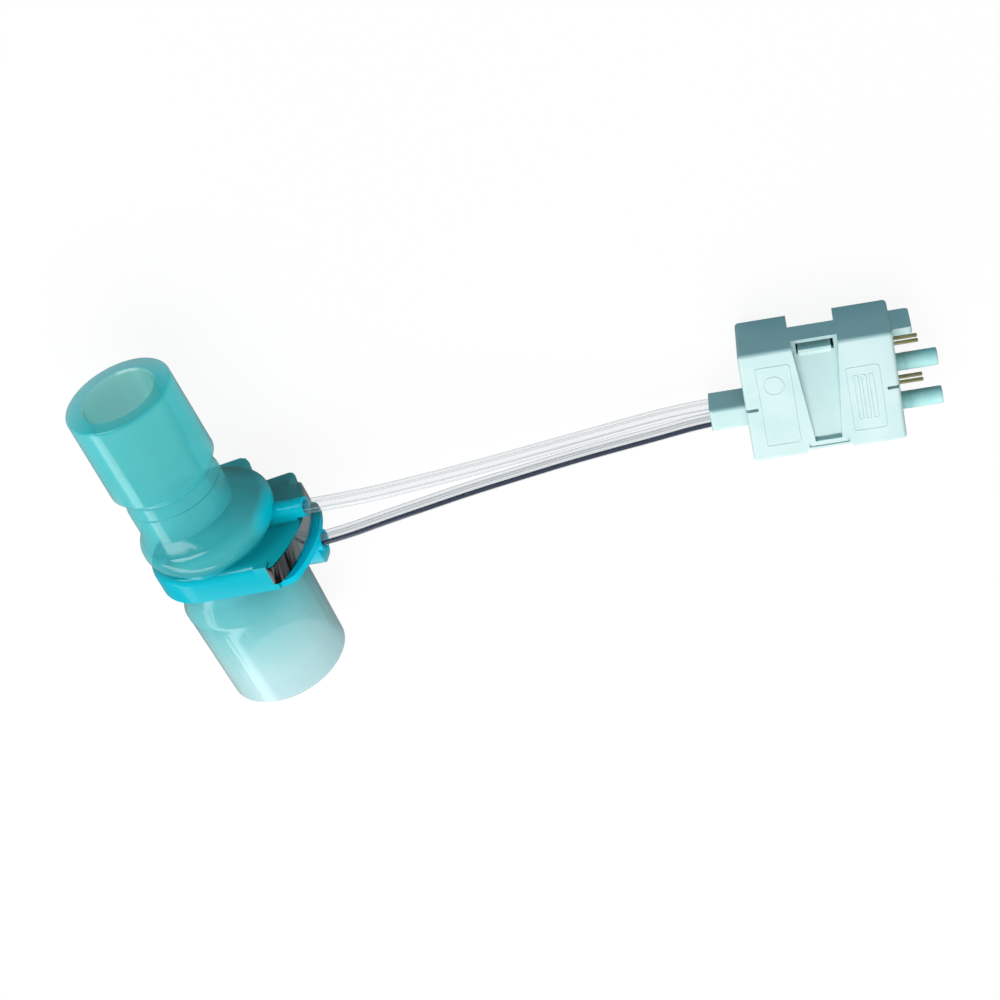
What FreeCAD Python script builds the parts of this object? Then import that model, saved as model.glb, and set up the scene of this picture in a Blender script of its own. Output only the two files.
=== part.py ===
"""Anaesthesia flow sensor: a moulded breathing-circuit body with a hinged metering flap, two pressure
tubes and a keyed plug with two pressure ports and four contact pins. Millimetres, +Z up, standing on z = 0.
"""

import FreeCAD
import Part
import math
import os

from FreeCAD import Placement, Rotation, Vector

import Sketcher

# Driving dimensions, each a cell of the spreadsheet under its own word
SIZES = {
    # upper housing, from the parting plane of the two flanges upwards
    "chamber_offset": 2.9,
    "cone_top_radius": 11.45,
    "cone_foot_radius": 11.6,
    "cone_top_level": 44.0,
    "cone_foot_level": 23.7,
    "cone_rim_round": 0.45,
    "socket_radius": 7.75,
    "socket_depth": 16.0,
    "socket_lead": 0.4,
    "throat_radius": 6.9,
    "neck_radius": 10.15,
    "barrel_radius": 10.4,
    "barrel_level": 19.0,
    "bell_top_level": 13.2,
    "bell_radius": 13.4,
    "drum_radius": 14.6,
    "drum_foot_radius": 12.1,
    "drum_bulge_level": 8.6,
    "drum_bulge": 5.0,
    "drum_level": 11.6,
    "drum_round": 2.2,
    "chamber_radius": 10.5,
    "chamber_level": 8.6,
    "chamber_roof_level": 11.6,
    # the two flanges and the sheet between them
    "flange_radius": 12.5,
    "flange_top_level": 4.5,
    "flange_round": 1.9,
    "flange_end_reach": 22.1,
    "flange_end_radius": 26.0,
    "flange_corner": 0.9,
    "flange_cap_start": 14.6,
    "skirt_depth": 1.8,
    "skirt_wall": 1.5,
    "lip_start": 18.2,
    "lip_reach": 26.5,
    "seat_gap": 0.05,
    "plate_thick": 0.3,
    "lower_lip": 1.3,
    "lip_inset": 0.8,
    "lip_corner": 3.2,
    # flap
    "orifice_radius": 8.4,
    "flap_root": 5.6,
    "flap_slot": 0.35,
    "flap_root_gap": 0.2,
    # lower housing
    "collar_foot_radius": 11.9,
    "collar_radius": 13.55,
    "collar_level": 8.6,
    "shell_top_radius": 13.45,
    "shell_foot_radius": 13.0,
    "body_foot_level": 31.9,
    "throat_low_radius": 10.2,
    "outlet_radius": 11.0,
    "outlet_depth": 20.0,
    "outlet_lead": 0.5,
    # lugs
    "upper_lug_start": 6.0,
    "upper_lug_end": 4.6,
    "upper_lug_top": 6.1,
    "upper_lug_foot": 2.2,
    "lug_root": 0.8,
    "upper_lug_reach": 22.56,
    "lower_lug_start": 1.5,
    "lower_lug_end": 12.6,
    "lower_lug_foot": 4.2,
    "upper_lug_round": 1.5,
    "lower_lug_round": 1.0,
    "lug_gap": 0.3,
    # stubs for the tubes
    "tube_radius": 1.52,
    "tube_bore": 0.85,
    "tube_fit": 0.03,
    "stub_radius": 1.95,
    "stub_level": 6.5,
    "stub_side": 1.85,
    "stub_web_end": 21.9,
    "stub_end": 24.0,
    "stub_seat": 4.5,
    "stub_web": 1.9,
    "stub_ring": 0.1,
    "boss_level": 2.9,
    "boss_half_width": 2.3,
    "boss_foot": 7.7,
    "boss_round": 1.4,
    "boss_ring_radius": 2.25,
    "boss_end": 23.9,
    "boss_ring": 1.1,
    "tap_radius": 0.8,
    # retaining band
    "band_thick": 0.4,
    "band_foot": 0.05,
    "band_top": 4.3,
    "band_gap": 0.03,
    "band_leg": 0.3,
    "band_hook": 1.5,
    # resting attitude of the sensor
    "rest_roll": 12.9,
    "rest_turn": 10.3,
    "sensor_x": -66.75,
    "sensor_y": -5.72,
    # plug
    "plug_x": 61.3,
    "plug_y": 6.8,
    "plug_length": 30.8,
    "plug_width": 23.4,
    "plug_height": 17.5,
    "plug_parting": 8.3,
    "plug_wall": 1.4,
    "plug_round": 0.8,
    "notch_length": 9.4,
    "notch_middle": -0.3,
    "notch_depth": 3.2,
    "notch_height": 6.8,
    "relief_length": 7.5,
    "relief_low": 3.6,
    "relief_high": 13.0,
    "relief_side": -1.05,
    "relief_width": 4.7,
    "relief_round": 0.8,
    "relief_fit": 0.1,
    "tube_low_y": -3.05,
    "tube_low_z": 5.9,
    "tube_high_y": -3.75,
    "tube_high_z": 10.9,
    "tube_inner_run": 14.3,
    "tube_barb_run": 8.2,
    "tube_straight": 8.7,
    # grip recess of the front shell
    "grip_top_half": 4.75,
    "grip_foot_half": 2.7,
    "grip_floor": 14.0,
    "grip_ledge": 6.9,
    "grip_ledge_floor": 15.2,
    "grip_foot": -8.6,
    "grip_foot_floor": 17.0,
    "grip_wall": 1.1,
    "window_half": 3.75,
    "window_low": 9.1,
    "window_high": 11.1,
    "slit_width": 0.6,
    "slit_depth": 1.5,
    "latch_line": 0.3,
    "latch_half": 3.75,
    "latch_top": 9.4,
    "latch_foot": 10.4,
    "latch_depth": 0.5,
    "step_half": 4.6,
    "step_foot": 5.0,
    "step_depth": 0.85,
    "slot_length": 2.5,
    "slot_width": 0.65,
    "slot_depth": 2.2,
    "slot_offset": 0.45,
    "hook_half": 3.3,
    "hook_thick": 0.9,
    "hook_head": 0.55,
    "hook_top": 15.45,
    "hook_face": 9.25,
    # ports, key and contacts
    "port_z": 8.3,
    "port_y": 1.05,
    "port_pitch": 8.5,
    "port_radius": 1.8,
    "port_root_radius": 2.15,
    "port_nose": 0.35,
    "port_reach": 8.4,
    "port_bore": 0.9,
    "port_collar_radius": 2.5,
    "port_collar": 1.1,
    "port_strip_half": 0.6,
    "port_fit": 0.05,
    "barb_radius": 0.83,
    "barb_length": 3.5,
    "barb_bore": 0.5,
    "key_low": 3.0,
    "key_high": 12.8,
    "key_side": 10.2,
    "key_thick": 1.5,
    "key_length": 4.0,
    "key_round": 0.9,
    "contact_y": 5.75,
    "contact_pitch_y": 8.6,
    "contact_pitch_z": 2.54,
    "contact_low_z": 7.05,
    "contact_radius": 0.4,
    "contact_reach": 5.0,
    "contact_inset": 5.8,
    "contact_stagger": 1.27,
    "contact_nose": 0.2,
    "contact_fit": 0.12,
    "header_length": 2.5,
    "header_half_width": 1.2,
    "header_rise": 1.4,
    "board_low": 2.6,
    "board_thick": 1.0,
    "board_start": -6.5,
    "board_margin": 0.8,
    "board_end_gap": 1.9,
    "post_radius": 1.2,
    "post_gap": 0.6,
    "chip_y": 3.3,
    "chip_length": 4.9,
    "chip_width": 3.9,
    "chip_height": 1.5,
    "capacitor_x": 4.2,
    "capacitor_length": 1.6,
    "capacitor_width": 0.8,
}

doc = FreeCAD.newDocument("flow_sensor")
sheet = doc.addObject("Spreadsheet::Sheet", "sizes")
for row, (word, number) in enumerate(SIZES.items(), start=1):
    sheet.set(f"A{row}", word)
    sheet.set(f"B{row}", str(number))
    sheet.setAlias(f"B{row}", word)
doc.recompute()


class Size:
    """A number together with the sheet expression that it comes from."""

    def __init__(self, value, text):
        self.value = float(value)
        self.text = text

    def __add__(self, other):
        other = sized(other)
        return Size(self.value + other.value, f"({self.text} + {other.text})")

    def __radd__(self, other):
        return sized(other) + self

    def __sub__(self, other):
        other = sized(other)
        return Size(self.value - other.value, f"({self.text} - {other.text})")

    def __rsub__(self, other):
        return sized(other) - self

    def __mul__(self, other):
        other = sized(other)
        return Size(self.value * other.value, f"({self.text} * {other.text})")

    def __rmul__(self, other):
        return self * other

    def __truediv__(self, other):
        other = sized(other)
        return Size(self.value / other.value, f"({self.text} / {other.text})")

    def __neg__(self):
        return Size(-self.value, f"(0 - {self.text})")


def sized(number):
    """A Size for a Size or a plain number."""
    return number if isinstance(number, Size) else Size(number, f"({number:g})")


def cell(word):
    """The Size of one cell of the sheet."""
    return Size(sheet.get(word), f"sizes.{word}")


def root(size):
    """The square root of a Size."""
    return Size(math.sqrt(size.value), f"sqrt({size.text})")


def square(size):
    """A Size times itself."""
    return size * size


def plane(body, role):
    """One of a body's own origin planes."""
    return next(item for item in body.Origin.OriginFeatures if item.Role == role)


def new_body(label):
    """An empty body whose label names its file."""
    body = doc.addObject("PartDesign::Body", label)
    body.Label = label
    return body


def new_sketch(body, role, level=0.0, shift=0.0):
    """A sketch on an origin plane, lifted along the plane's normal by level and moved along its X by shift."""
    sketch = body.newObject("Sketcher::SketchObject", f"{body.Name}_sketch")
    sketch.AttachmentSupport = (plane(body, role), [""])
    sketch.MapMode = "FlatFace"
    level, shift = sized(level), sized(shift)
    sketch.AttachmentOffset = Placement(Vector(shift.value, 0, level.value), Rotation())
    sketch.setExpression("AttachmentOffset.Base.z", level.text)
    sketch.setExpression("AttachmentOffset.Base.x", shift.text)
    return sketch


def bind(sketch, kind, *where, size):
    """A sketch constraint whose value follows the sheet."""
    index = sketch.addConstraint(Sketcher.Constraint(kind, *where, size.value))
    sketch.setExpression(f"Constraints[{index}]", size.text)


def arc_between(start, end, radius, left):
    """An arc from start to end, its centre on the left or the right of the chord."""
    chord = end - start
    height = math.sqrt(max(radius**2 - (chord.Length / 2) ** 2, 0.0))
    side = Vector(-chord.y, chord.x, 0).normalize() * (height if left else -height)
    centre = (start + end) * 0.5 + side
    circle = Part.Circle(centre, Vector(0, 0, 1), radius)
    first, last = (end, start) if not left else (start, end)
    return Part.ArcOfCircle(circle, circle.parameter(first), circle.parameter(last))


def draw(sketch, corners, arcs=None):
    """A closed outline through corners; arcs gives edge number: (radius, centre on the left)."""
    arcs = arcs or {}
    corners = [(sized(across), sized(along)) for across, along in corners]
    points = [Vector(across.value, along.value, 0) for across, along in corners]
    ends = []
    for number, start in enumerate(points):
        end = points[(number + 1) % len(points)]
        if number in arcs:
            radius, left = sized(arcs[number][0]), arcs[number][1]
            edge = sketch.addGeometry(arc_between(start, end, radius.value, left))
            bind(sketch, "Radius", edge, size=radius)
            ends.append((edge, 1, 2) if left else (edge, 2, 1))
        else:
            edge = sketch.addGeometry(Part.LineSegment(start, end))
            ends.append((edge, 1, 2))
    for number, (edge, first, last) in enumerate(ends):
        following = ends[(number + 1) % len(ends)]
        sketch.addConstraint(Sketcher.Constraint("Coincident", edge, last, following[0], following[1]))
        bind(sketch, "DistanceX", -1, 1, edge, first, size=corners[number][0])
        bind(sketch, "DistanceY", -1, 1, edge, first, size=corners[number][1])
    return sketch


def draw_box(sketch, low_x, high_x, low_y, high_y):
    """A rectangle between two pairs of limits."""
    return draw(sketch, [(low_x, low_y), (high_x, low_y), (high_x, high_y), (low_x, high_y)])


def draw_circle(sketch, across, along, radius):
    """A circle at a place of the sketch."""
    across, along, radius = sized(across), sized(along), sized(radius)
    middle = Vector(across.value, along.value, 0)
    edge = sketch.addGeometry(Part.Circle(middle, Vector(0, 0, 1), radius.value))
    bind(sketch, "Radius", edge, size=radius)
    bind(sketch, "DistanceX", -1, 1, edge, 3, size=across)
    bind(sketch, "DistanceY", -1, 1, edge, 3, size=along)
    return sketch


def pad(body, sketch, length, cut=False, back=False):
    """Adds along a sketch's normal or cuts against it; back turns either one round."""
    kind = "PartDesign::Pocket" if cut else "PartDesign::Pad"
    feature = body.newObject(kind, f"{body.Name}_{'pocket' if cut else 'pad'}")
    feature.Profile = sketch
    length = sized(length)
    feature.Length = length.value
    feature.setExpression("Length", length.text)
    feature.Reversed = back
    doc.recompute()
    return feature


def revolve(body, sketch, cut=False):
    """Turns a sketch about its own vertical axis, to add or to cut."""
    kind = "PartDesign::Groove" if cut else "PartDesign::Revolution"
    feature = body.newObject(kind, f"{body.Name}_{'groove' if cut else 'turn'}")
    feature.Profile = sketch
    feature.ReferenceAxis = (sketch, ["V_Axis"])
    feature.Angle = 360
    doc.recompute()
    return feature


def loft(body, first, second, cut=False):
    """A ruled solid between two sketches, to add or to cut."""
    kind = "PartDesign::SubtractiveLoft" if cut else "PartDesign::AdditiveLoft"
    feature = body.newObject(kind, f"{body.Name}_loft")
    feature.Profile = first
    feature.Sections = [second]
    feature.Ruled = True
    doc.recompute()
    return feature


def soften(body, radius, chosen, chamfer=False):
    """Rounds or chamfers the edges of the body's last feature for which chosen says yes."""
    base = body.Tip
    names = [f"Edge{n}" for n, edge in enumerate(base.Shape.Edges, start=1) if chosen(edge)]
    feature = body.newObject("PartDesign::Chamfer" if chamfer else "PartDesign::Fillet", f"{body.Name}_edge")
    feature.Base = (base, names)
    radius = sized(radius)
    word = "Size" if chamfer else "Radius"
    setattr(feature, word, radius.value)
    feature.setExpression(word, radius.text)
    doc.recompute()
    return feature


def flat_at(level, slack=1e-4):
    """A test for edges that lie in the plane z = level."""
    return lambda edge: (
        abs(edge.BoundBox.ZMin - level.value) < slack and abs(edge.BoundBox.ZMax - level.value) < slack
    )


# Shorthands for the sizes that many pieces share
offset = cell("chamber_offset")
gap = cell("seat_gap")
flange_radius = cell("flange_radius")
skirt_floor = -cell("skirt_depth")
plate_top = -gap
plate_floor = plate_top - cell("plate_thick")
lower_top = plate_floor - gap
lower_floor = skirt_floor - gap


def bowed_corner(half, reach):
    """Where the straight side of a flange meets its bowed end."""
    bow = cell("flange_end_radius")
    return reach - bow + root(square(bow) - square(half))


def flange_outline(sketch, inset, reach):
    """The outline of a flange: a round end about the inlet's axis, straight sides and a bowed end."""
    half = flange_radius - inset
    corner = bowed_corner(half, reach)
    corners = [(0, -half), (corner, -half), (corner, half), (0, half), (-half, 0)]
    return draw(sketch, corners, {1: (cell("flange_end_radius"), True), 3: (half, True), 4: (half, True)})


def resting_frame():
    """The sensor's place: it lies on its two lugs and on the rim of its outlet."""
    roll = math.radians(SIZES["rest_roll"])
    across, reach, level = SIZES["upper_lug_end"], SIZES["upper_lug_reach"], SIZES["upper_lug_top"]
    drop = reach * math.cos(roll) - (across - SIZES["chamber_offset"]) * math.sin(roll)
    drop -= SIZES["shell_foot_radius"]
    rise = math.atan(drop / (SIZES["body_foot_level"] + level))
    turn = Rotation(Vector(0, 0, 1), SIZES["rest_turn"])
    lift = Rotation(Vector(1, 0, 0), math.degrees(rise))
    lean = Rotation(Vector(0, 1, 0), -SIZES["rest_roll"])
    lay = Rotation(Vector(1, 0, 0), -90)
    rotation = turn.multiply(lift).multiply(lean).multiply(lay)
    up = rotation.inverted().multVec(Vector(0, 0, 1))
    height = -Vector(across, reach, level).dot(up)
    return Placement(Vector(SIZES["sensor_x"], SIZES["sensor_y"], height), rotation), up


sensor_place, sensor_up = resting_frame()
plug_place = Placement(Vector(SIZES["plug_x"], SIZES["plug_y"], 0), Rotation())


def fixed(number):
    """A Size for a number that follows from the resting attitude."""
    return Size(number, f"({number:.9f})")


def lug_outline(sketch, start, end, level):
    """A lug that stands out of a flange's far side; its outer face lies flat on the table."""
    lean = fixed(-sensor_up.x / sensor_up.y)
    drop = fixed(-sensor_up.z / sensor_up.y)
    height = fixed(-sensor_place.Base.z / sensor_up.y)
    near, far = (height + lean * across + drop * level for across in (start, end))
    inner = flange_radius - cell("lug_root")
    return draw(sketch, [(start, inner), (end, inner), (end, far), (start, near)])


def lug(body, start, end, foot, top, turn):
    """A lug between two levels whose upper outer corner is rounded in two steps."""
    part_way = (1 - root(sized(0.5))) * turn
    steps = [(foot, end), (top - turn, end), (top - part_way, end - part_way), (top, end - turn)]
    for (low, low_end), (high, high_end) in zip(steps, steps[1:]):
        first = lug_outline(new_sketch(body, "XY_Plane", low), start, low_end, low)
        second = lug_outline(new_sketch(body, "XY_Plane", high), start, high_end, high)
        loft(body, first, second)


def finish_sensor(body):
    """Puts a piece of the sensor in its place."""
    body.Placement = sensor_place
    return body


def finish_plug(body):
    """Puts a piece of the plug in its place."""
    body.Placement = plug_place
    return body


# Upper housing
upper = new_body("upper_housing")
flange_top = cell("flange_top_level")
flange_reach = cell("flange_end_reach")
pad(upper, flange_outline(new_sketch(upper, "XY_Plane"), 0, flange_reach - 1), flange_top)
soften(upper, cell("flange_round"), flat_at(flange_top))
cap = new_sketch(upper, "XY_Plane")
cap_start = cell("flange_cap_start")
flange_corner = bowed_corner(flange_radius, flange_reach)
draw(
    cap,
    [
        (cap_start, -flange_radius),
        (flange_corner, -flange_radius),
        (flange_corner, flange_radius),
        (cap_start, flange_radius),
    ],
    {1: (cell("flange_end_radius"), True)},
)
pad(upper, cap, flange_top)
soften(
    upper,
    cell("flange_corner"),
    lambda edge: edge.BoundBox.ZLength > 4 and edge.BoundBox.XMin > cap_start.value + 0.1,
)
lip = new_sketch(upper, "XY_Plane", skirt_floor)
flange_outline(lip, 0, flange_reach)
pad(upper, lip, cell("skirt_depth"))
hollow = new_sketch(upper, "XY_Plane", skirt_floor)
inner_half = flange_radius - cell("skirt_wall")
corners = [(0, -inner_half), (cell("lip_reach"), -inner_half), (cell("lip_reach"), inner_half), (0, inner_half)]
draw(hollow, corners + [(-inner_half, 0)], {3: (inner_half, True), 4: (inner_half, True)})
pad(upper, hollow, cell("skirt_depth"), cut=True, back=True)
ends = new_sketch(upper, "XY_Plane", skirt_floor)
draw_box(ends, cell("lip_start"), cell("lip_reach"), -flange_radius - 2, flange_radius + 2)
pad(upper, ends, cell("skirt_depth"), cut=True, back=True)
pad(
    upper,
    draw_box(
        new_sketch(upper, "XY_Plane", skirt_floor),
        cell("lower_lug_start") - cell("lug_gap"),
        cell("lower_lug_end") + cell("lug_gap"),
        flange_radius - cell("skirt_wall") - 0.5,
        flange_radius + 2,
    ),
    cell("skirt_depth"),
    cut=True,
    back=True,
)
drum = new_sketch(upper, "XZ_Plane", 0, offset)
draw(
    drum,
    [
        (0, flange_top - 1),
        (cell("drum_foot_radius"), flange_top - 1),
        (cell("drum_foot_radius"), flange_top + 0.3),
        (cell("drum_radius"), cell("drum_bulge_level")),
        (cell("drum_radius"), cell("drum_level") - cell("drum_round")),
        (cell("drum_radius") - cell("drum_round"), cell("drum_level")),
        (0, cell("drum_level")),
    ],
    {2: (cell("drum_bulge"), True), 4: (cell("drum_round"), True)},
)
revolve(upper, drum)
bell_foot = draw_circle(new_sketch(upper, "XY_Plane", cell("drum_level") - 0.3), offset, 0, cell("bell_radius"))
bell_top = draw_circle(new_sketch(upper, "XY_Plane", cell("bell_top_level")), 0, 0, cell("barrel_radius"))
loft(upper, bell_foot, bell_top)
profile = new_sketch(upper, "XZ_Plane")
draw(
    profile,
    [
        (0, cell("flange_top_level")),
        (cell("barrel_radius"), cell("flange_top_level")),
        (cell("barrel_radius"), cell("barrel_level")),
        (cell("neck_radius"), cell("barrel_level") + 0.15),
        (cell("neck_radius"), cell("cone_foot_level") - 1.6),
        (cell("neck_radius") + 0.35, cell("cone_foot_level") - 0.5),
        (cell("cone_foot_radius"), cell("cone_foot_level") + 0.55),
        (cell("cone_top_radius"), cell("cone_top_level")),
        (0, cell("cone_top_level")),
    ],
    {4: (1.6, True), 5: (1.5, False)},
)
revolve(upper, profile)
soften(upper, cell("cone_rim_round"), flat_at(cell("cone_top_level")))
lug(
    upper,
    -cell("upper_lug_start"),
    cell("upper_lug_end"),
    cell("upper_lug_foot"),
    cell("upper_lug_top"),
    cell("upper_lug_round"),
)
stub_root = offset + cell("chamber_radius") + 0.4
stub = new_sketch(upper, "YZ_Plane", stub_root)
draw_circle(stub, cell("stub_side"), cell("stub_level"), cell("stub_radius"))
pad(upper, stub, cell("stub_end") - stub_root)
ring = new_sketch(upper, "YZ_Plane", cell("stub_web_end"))
draw_circle(ring, cell("stub_side"), cell("stub_level"), cell("stub_radius") + cell("stub_ring"))
pad(upper, ring, cell("stub_end") - cell("stub_web_end"))
web = new_sketch(upper, "YZ_Plane", stub_root)
draw_box(
    web,
    cell("stub_side") - cell("stub_web"),
    cell("stub_side") + cell("stub_web"),
    flange_top - 0.3,
    cell("stub_level"),
)
pad(upper, web, cell("stub_web_end") - stub_root)
pad(
    upper,
    draw_circle(new_sketch(upper, "XY_Plane"), offset, 0, cell("chamber_radius")),
    cell("chamber_level"),
    cut=True,
    back=True,
)
roof_foot = draw_circle(new_sketch(upper, "XY_Plane", cell("chamber_level")), offset, 0, cell("chamber_radius"))
roof_top = draw_circle(new_sketch(upper, "XY_Plane", cell("chamber_roof_level")), 0, 0, cell("throat_radius"))
loft(upper, roof_foot, roof_top, cut=True)
hook_slot = new_sketch(upper, "XY_Plane", cell("band_foot") - gap)
hook_from = flange_corner - cell("flange_corner") - cell("band_leg") - gap
hook_reach = flange_radius - cell("band_hook") - gap
draw_box(hook_slot, hook_from, hook_from + cell("band_thick") + 2 * gap, -flange_radius - 1, -hook_reach)
pad(upper, hook_slot, flange_top, cut=True, back=True)
hook_slot = new_sketch(upper, "XY_Plane", cell("band_foot") - gap)
draw_box(hook_slot, hook_from, hook_from + cell("band_thick") + 2 * gap, hook_reach, flange_radius + 1)
pad(upper, hook_slot, flange_top, cut=True, back=True)
socket = new_sketch(upper, "XZ_Plane")
draw(
    socket,
    [
        (0, cell("chamber_roof_level") - 0.5),
        (cell("throat_radius"), cell("chamber_roof_level") - 0.5),
        (cell("throat_radius"), cell("cone_top_level") - cell("socket_depth")),
        (cell("socket_radius"), cell("cone_top_level") - cell("socket_depth")),
        (cell("socket_radius"), cell("cone_top_level") - cell("socket_lead")),
        (cell("socket_radius") + cell("socket_lead"), cell("cone_top_level")),
        (0, cell("cone_top_level")),
    ],
)
revolve(upper, socket, cut=True)
seat = new_sketch(upper, "YZ_Plane", cell("stub_end"))
draw_circle(seat, cell("stub_side"), cell("stub_level"), cell("tube_radius") + cell("tube_fit"))
pad(upper, seat, cell("stub_seat"), cut=True)
tap = new_sketch(upper, "YZ_Plane", cell("stub_end"))
draw_circle(tap, cell("stub_side"), cell("stub_level"), cell("tap_radius"))
pad(upper, tap, cell("stub_end") - offset - cell("chamber_radius") + 1.5, cut=True)
finish_sensor(upper)

# Lower housing
lower = new_body("lower_housing")
plate_half = flange_radius - cell("skirt_wall") - gap
lip_from = cell("lip_start") + gap
lower_reach = cell("flange_end_reach") + cell("band_thick") + cell("lower_lip")
lower_plate = new_sketch(lower, "XY_Plane", lower_floor)
lip_half = flange_radius - cell("lip_inset")
corner = bowed_corner(lip_half, lower_reach)
draw(
    lower_plate,
    [
        (0, -plate_half),
        (lip_from, -plate_half),
        (lip_from, -lip_half),
        (corner, -lip_half),
        (corner, lip_half),
        (lip_from, lip_half),
        (lip_from, plate_half),
        (0, plate_half),
        (-plate_half, 0),
    ],
    {3: (cell("flange_end_radius"), True), 7: (plate_half, True), 8: (plate_half, True)},
)
pad(lower, lower_plate, lower_top - lower_floor)
soften(
    lower,
    cell("lip_corner"),
    lambda edge: edge.BoundBox.ZLength > 1 and edge.BoundBox.XMin > lip_from.value + 0.5,
)
shell = new_sketch(lower, "XZ_Plane", 0, offset)
draw(
    shell,
    [
        (0, lower_floor),
        (cell("collar_foot_radius"), lower_floor),
        (cell("collar_foot_radius"), lower_floor - 2.0),
        (cell("collar_radius"), -cell("collar_level")),
        (cell("collar_radius"), -cell("collar_level") - 1.2),
        (cell("shell_top_radius"), -cell("collar_level") - 1.5),
        (cell("shell_foot_radius"), 0.35 - cell("body_foot_level")),
        (cell("shell_foot_radius") - 0.35, -cell("body_foot_level")),
        (0, -cell("body_foot_level")),
    ],
)
revolve(lower, shell)
lug(
    lower,
    cell("lower_lug_start"),
    cell("lower_lug_end"),
    -cell("lower_lug_foot"),
    lower_top,
    cell("lower_lug_round"),
)
pad(
    lower,
    draw_box(
        new_sketch(lower, "XY_Plane", lower_floor),
        cell("lower_lug_start"),
        cell("lower_lug_end"),
        plate_half - 1.5,
        flange_radius,
    ),
    lower_top - lower_floor,
)
boss_root = offset + cell("throat_low_radius") + 0.6
boss = new_sketch(lower, "YZ_Plane", boss_root)
boss_near = cell("stub_side") - cell("boss_half_width")
boss_far = cell("stub_side") + cell("boss_half_width")
boss_round = cell("boss_round")
draw(
    boss,
    [
        (boss_near, lower_floor + 0.4),
        (boss_near, boss_round - cell("boss_foot")),
        (boss_near + boss_round, -cell("boss_foot")),
        (boss_far - boss_round, -cell("boss_foot")),
        (boss_far, boss_round - cell("boss_foot")),
        (boss_far, lower_floor + 0.4),
    ],
    {1: (boss_round, True), 3: (boss_round, True)},
)
boss_body_end = cell("boss_end") - cell("boss_ring")
pad(lower, boss, boss_body_end - boss_root)
ring = new_sketch(lower, "YZ_Plane", boss_root)
draw_circle(ring, cell("stub_side"), -cell("boss_level"), cell("boss_ring_radius"))
pad(lower, ring, cell("boss_end") - boss_root)
bore = new_sketch(lower, "XZ_Plane", 0, offset)
outlet_floor = cell("outlet_depth") - cell("body_foot_level")
draw(
    bore,
    [
        (0, lower_top + 0.1),
        (cell("throat_low_radius"), lower_top + 0.1),
        (cell("throat_low_radius"), outlet_floor),
        (cell("outlet_radius"), outlet_floor),
        (cell("outlet_radius"), cell("outlet_lead") - cell("body_foot_level")),
        (cell("outlet_radius") + cell("outlet_lead"), -cell("body_foot_level")),
        (0, -cell("body_foot_level")),
    ],
)
revolve(lower, bore, cut=True)
seat = new_sketch(lower, "YZ_Plane", cell("boss_end"))
draw_circle(seat, cell("stub_side"), -cell("boss_level"), cell("tube_radius") + cell("tube_fit"))
pad(lower, seat, cell("stub_seat"), cut=True)
tap = new_sketch(lower, "YZ_Plane", cell("boss_end"))
draw_circle(tap, cell("stub_side"), -cell("boss_level"), cell("tap_radius"))
pad(lower, tap, cell("boss_end") - boss_root + 2, cut=True)
finish_sensor(lower)

# Metering sheet and its flap
frame_sheet = new_body("flap_frame")
sheet_outline = new_sketch(frame_sheet, "XY_Plane", plate_floor)
flange_outline(sheet_outline, cell("skirt_wall") + 2 * gap, flange_reach - 0.3)
pad(frame_sheet, sheet_outline, cell("plate_thick"))
flap_root = offset - cell("flap_root")
opening_side = root(square(cell("orifice_radius")) - square(cell("flap_root") + cell("flap_root_gap")))
opening_root = flap_root - cell("flap_root_gap")
opening = new_sketch(frame_sheet, "XY_Plane", plate_floor)
orifice = cell("orifice_radius")
draw(
    opening,
    [
        (opening_root, -opening_side),
        (offset, -orifice),
        (offset + orifice, 0),
        (offset, orifice),
        (opening_root, opening_side),
    ],
    {0: (orifice, True), 1: (orifice, True), 2: (orifice, True), 3: (orifice, True)},
)
pad(frame_sheet, opening, cell("plate_thick"), cut=True, back=True)
finish_sensor(frame_sheet)

leaf = new_body("flap_leaf")
leaf_radius = orifice - cell("flap_slot")
leaf_side = root(square(leaf_radius) - square(cell("flap_root")))
leaf_outline = new_sketch(leaf, "XY_Plane", plate_floor)
draw(
    leaf_outline,
    [
        (flap_root, -leaf_side),
        (offset, -leaf_radius),
        (offset + leaf_radius, 0),
        (offset, leaf_radius),
        (flap_root, leaf_side),
    ],
    {0: (leaf_radius, True), 1: (leaf_radius, True), 2: (leaf_radius, True), 3: (leaf_radius, True)},
)
pad(leaf, leaf_outline, cell("plate_thick"))
finish_sensor(leaf)

# Retaining band round the bowed end
band = new_body("clamp_band")
near = cell("band_gap")
far = cell("band_gap") + cell("band_thick")
inner_side = flange_radius + near
outer_side = flange_radius + far
inner_corner = bowed_corner(inner_side, flange_reach + near)
outer_corner = bowed_corner(outer_side, flange_reach + far)
leg_end = flange_corner - cell("flange_corner") - cell("band_leg")
leg_inner = leg_end + cell("band_thick")
hook_side = flange_radius - cell("band_hook")
band_outline = new_sketch(band, "XY_Plane", cell("band_foot"))
draw(
    band_outline,
    [
        (leg_end, -outer_side),
        (outer_corner, -outer_side),
        (outer_corner, outer_side),
        (leg_end, outer_side),
        (leg_end, hook_side),
        (leg_inner, hook_side),
        (leg_inner, inner_side),
        (inner_corner, inner_side),
        (inner_corner, -inner_side),
        (leg_inner, -inner_side),
        (leg_inner, -hook_side),
        (leg_end, -hook_side),
    ],
    {1: (cell("flange_end_radius"), True), 7: (cell("flange_end_radius"), False)},
)
pad(band, band_outline, cell("band_top") - cell("band_foot"))
at_corner = lambda edge, corner: edge.BoundBox.ZLength > 1 and abs(edge.BoundBox.XMin - corner.value) < 0.001
soften(band, cell("flange_corner") + far, lambda edge: at_corner(edge, outer_corner))
soften(band, cell("flange_corner") + near, lambda edge: at_corner(edge, inner_corner))
finish_sensor(band)


# Rear shell of the plug
half_length = cell("plug_length") / 2
key_end = half_length + cell("key_length")


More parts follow.
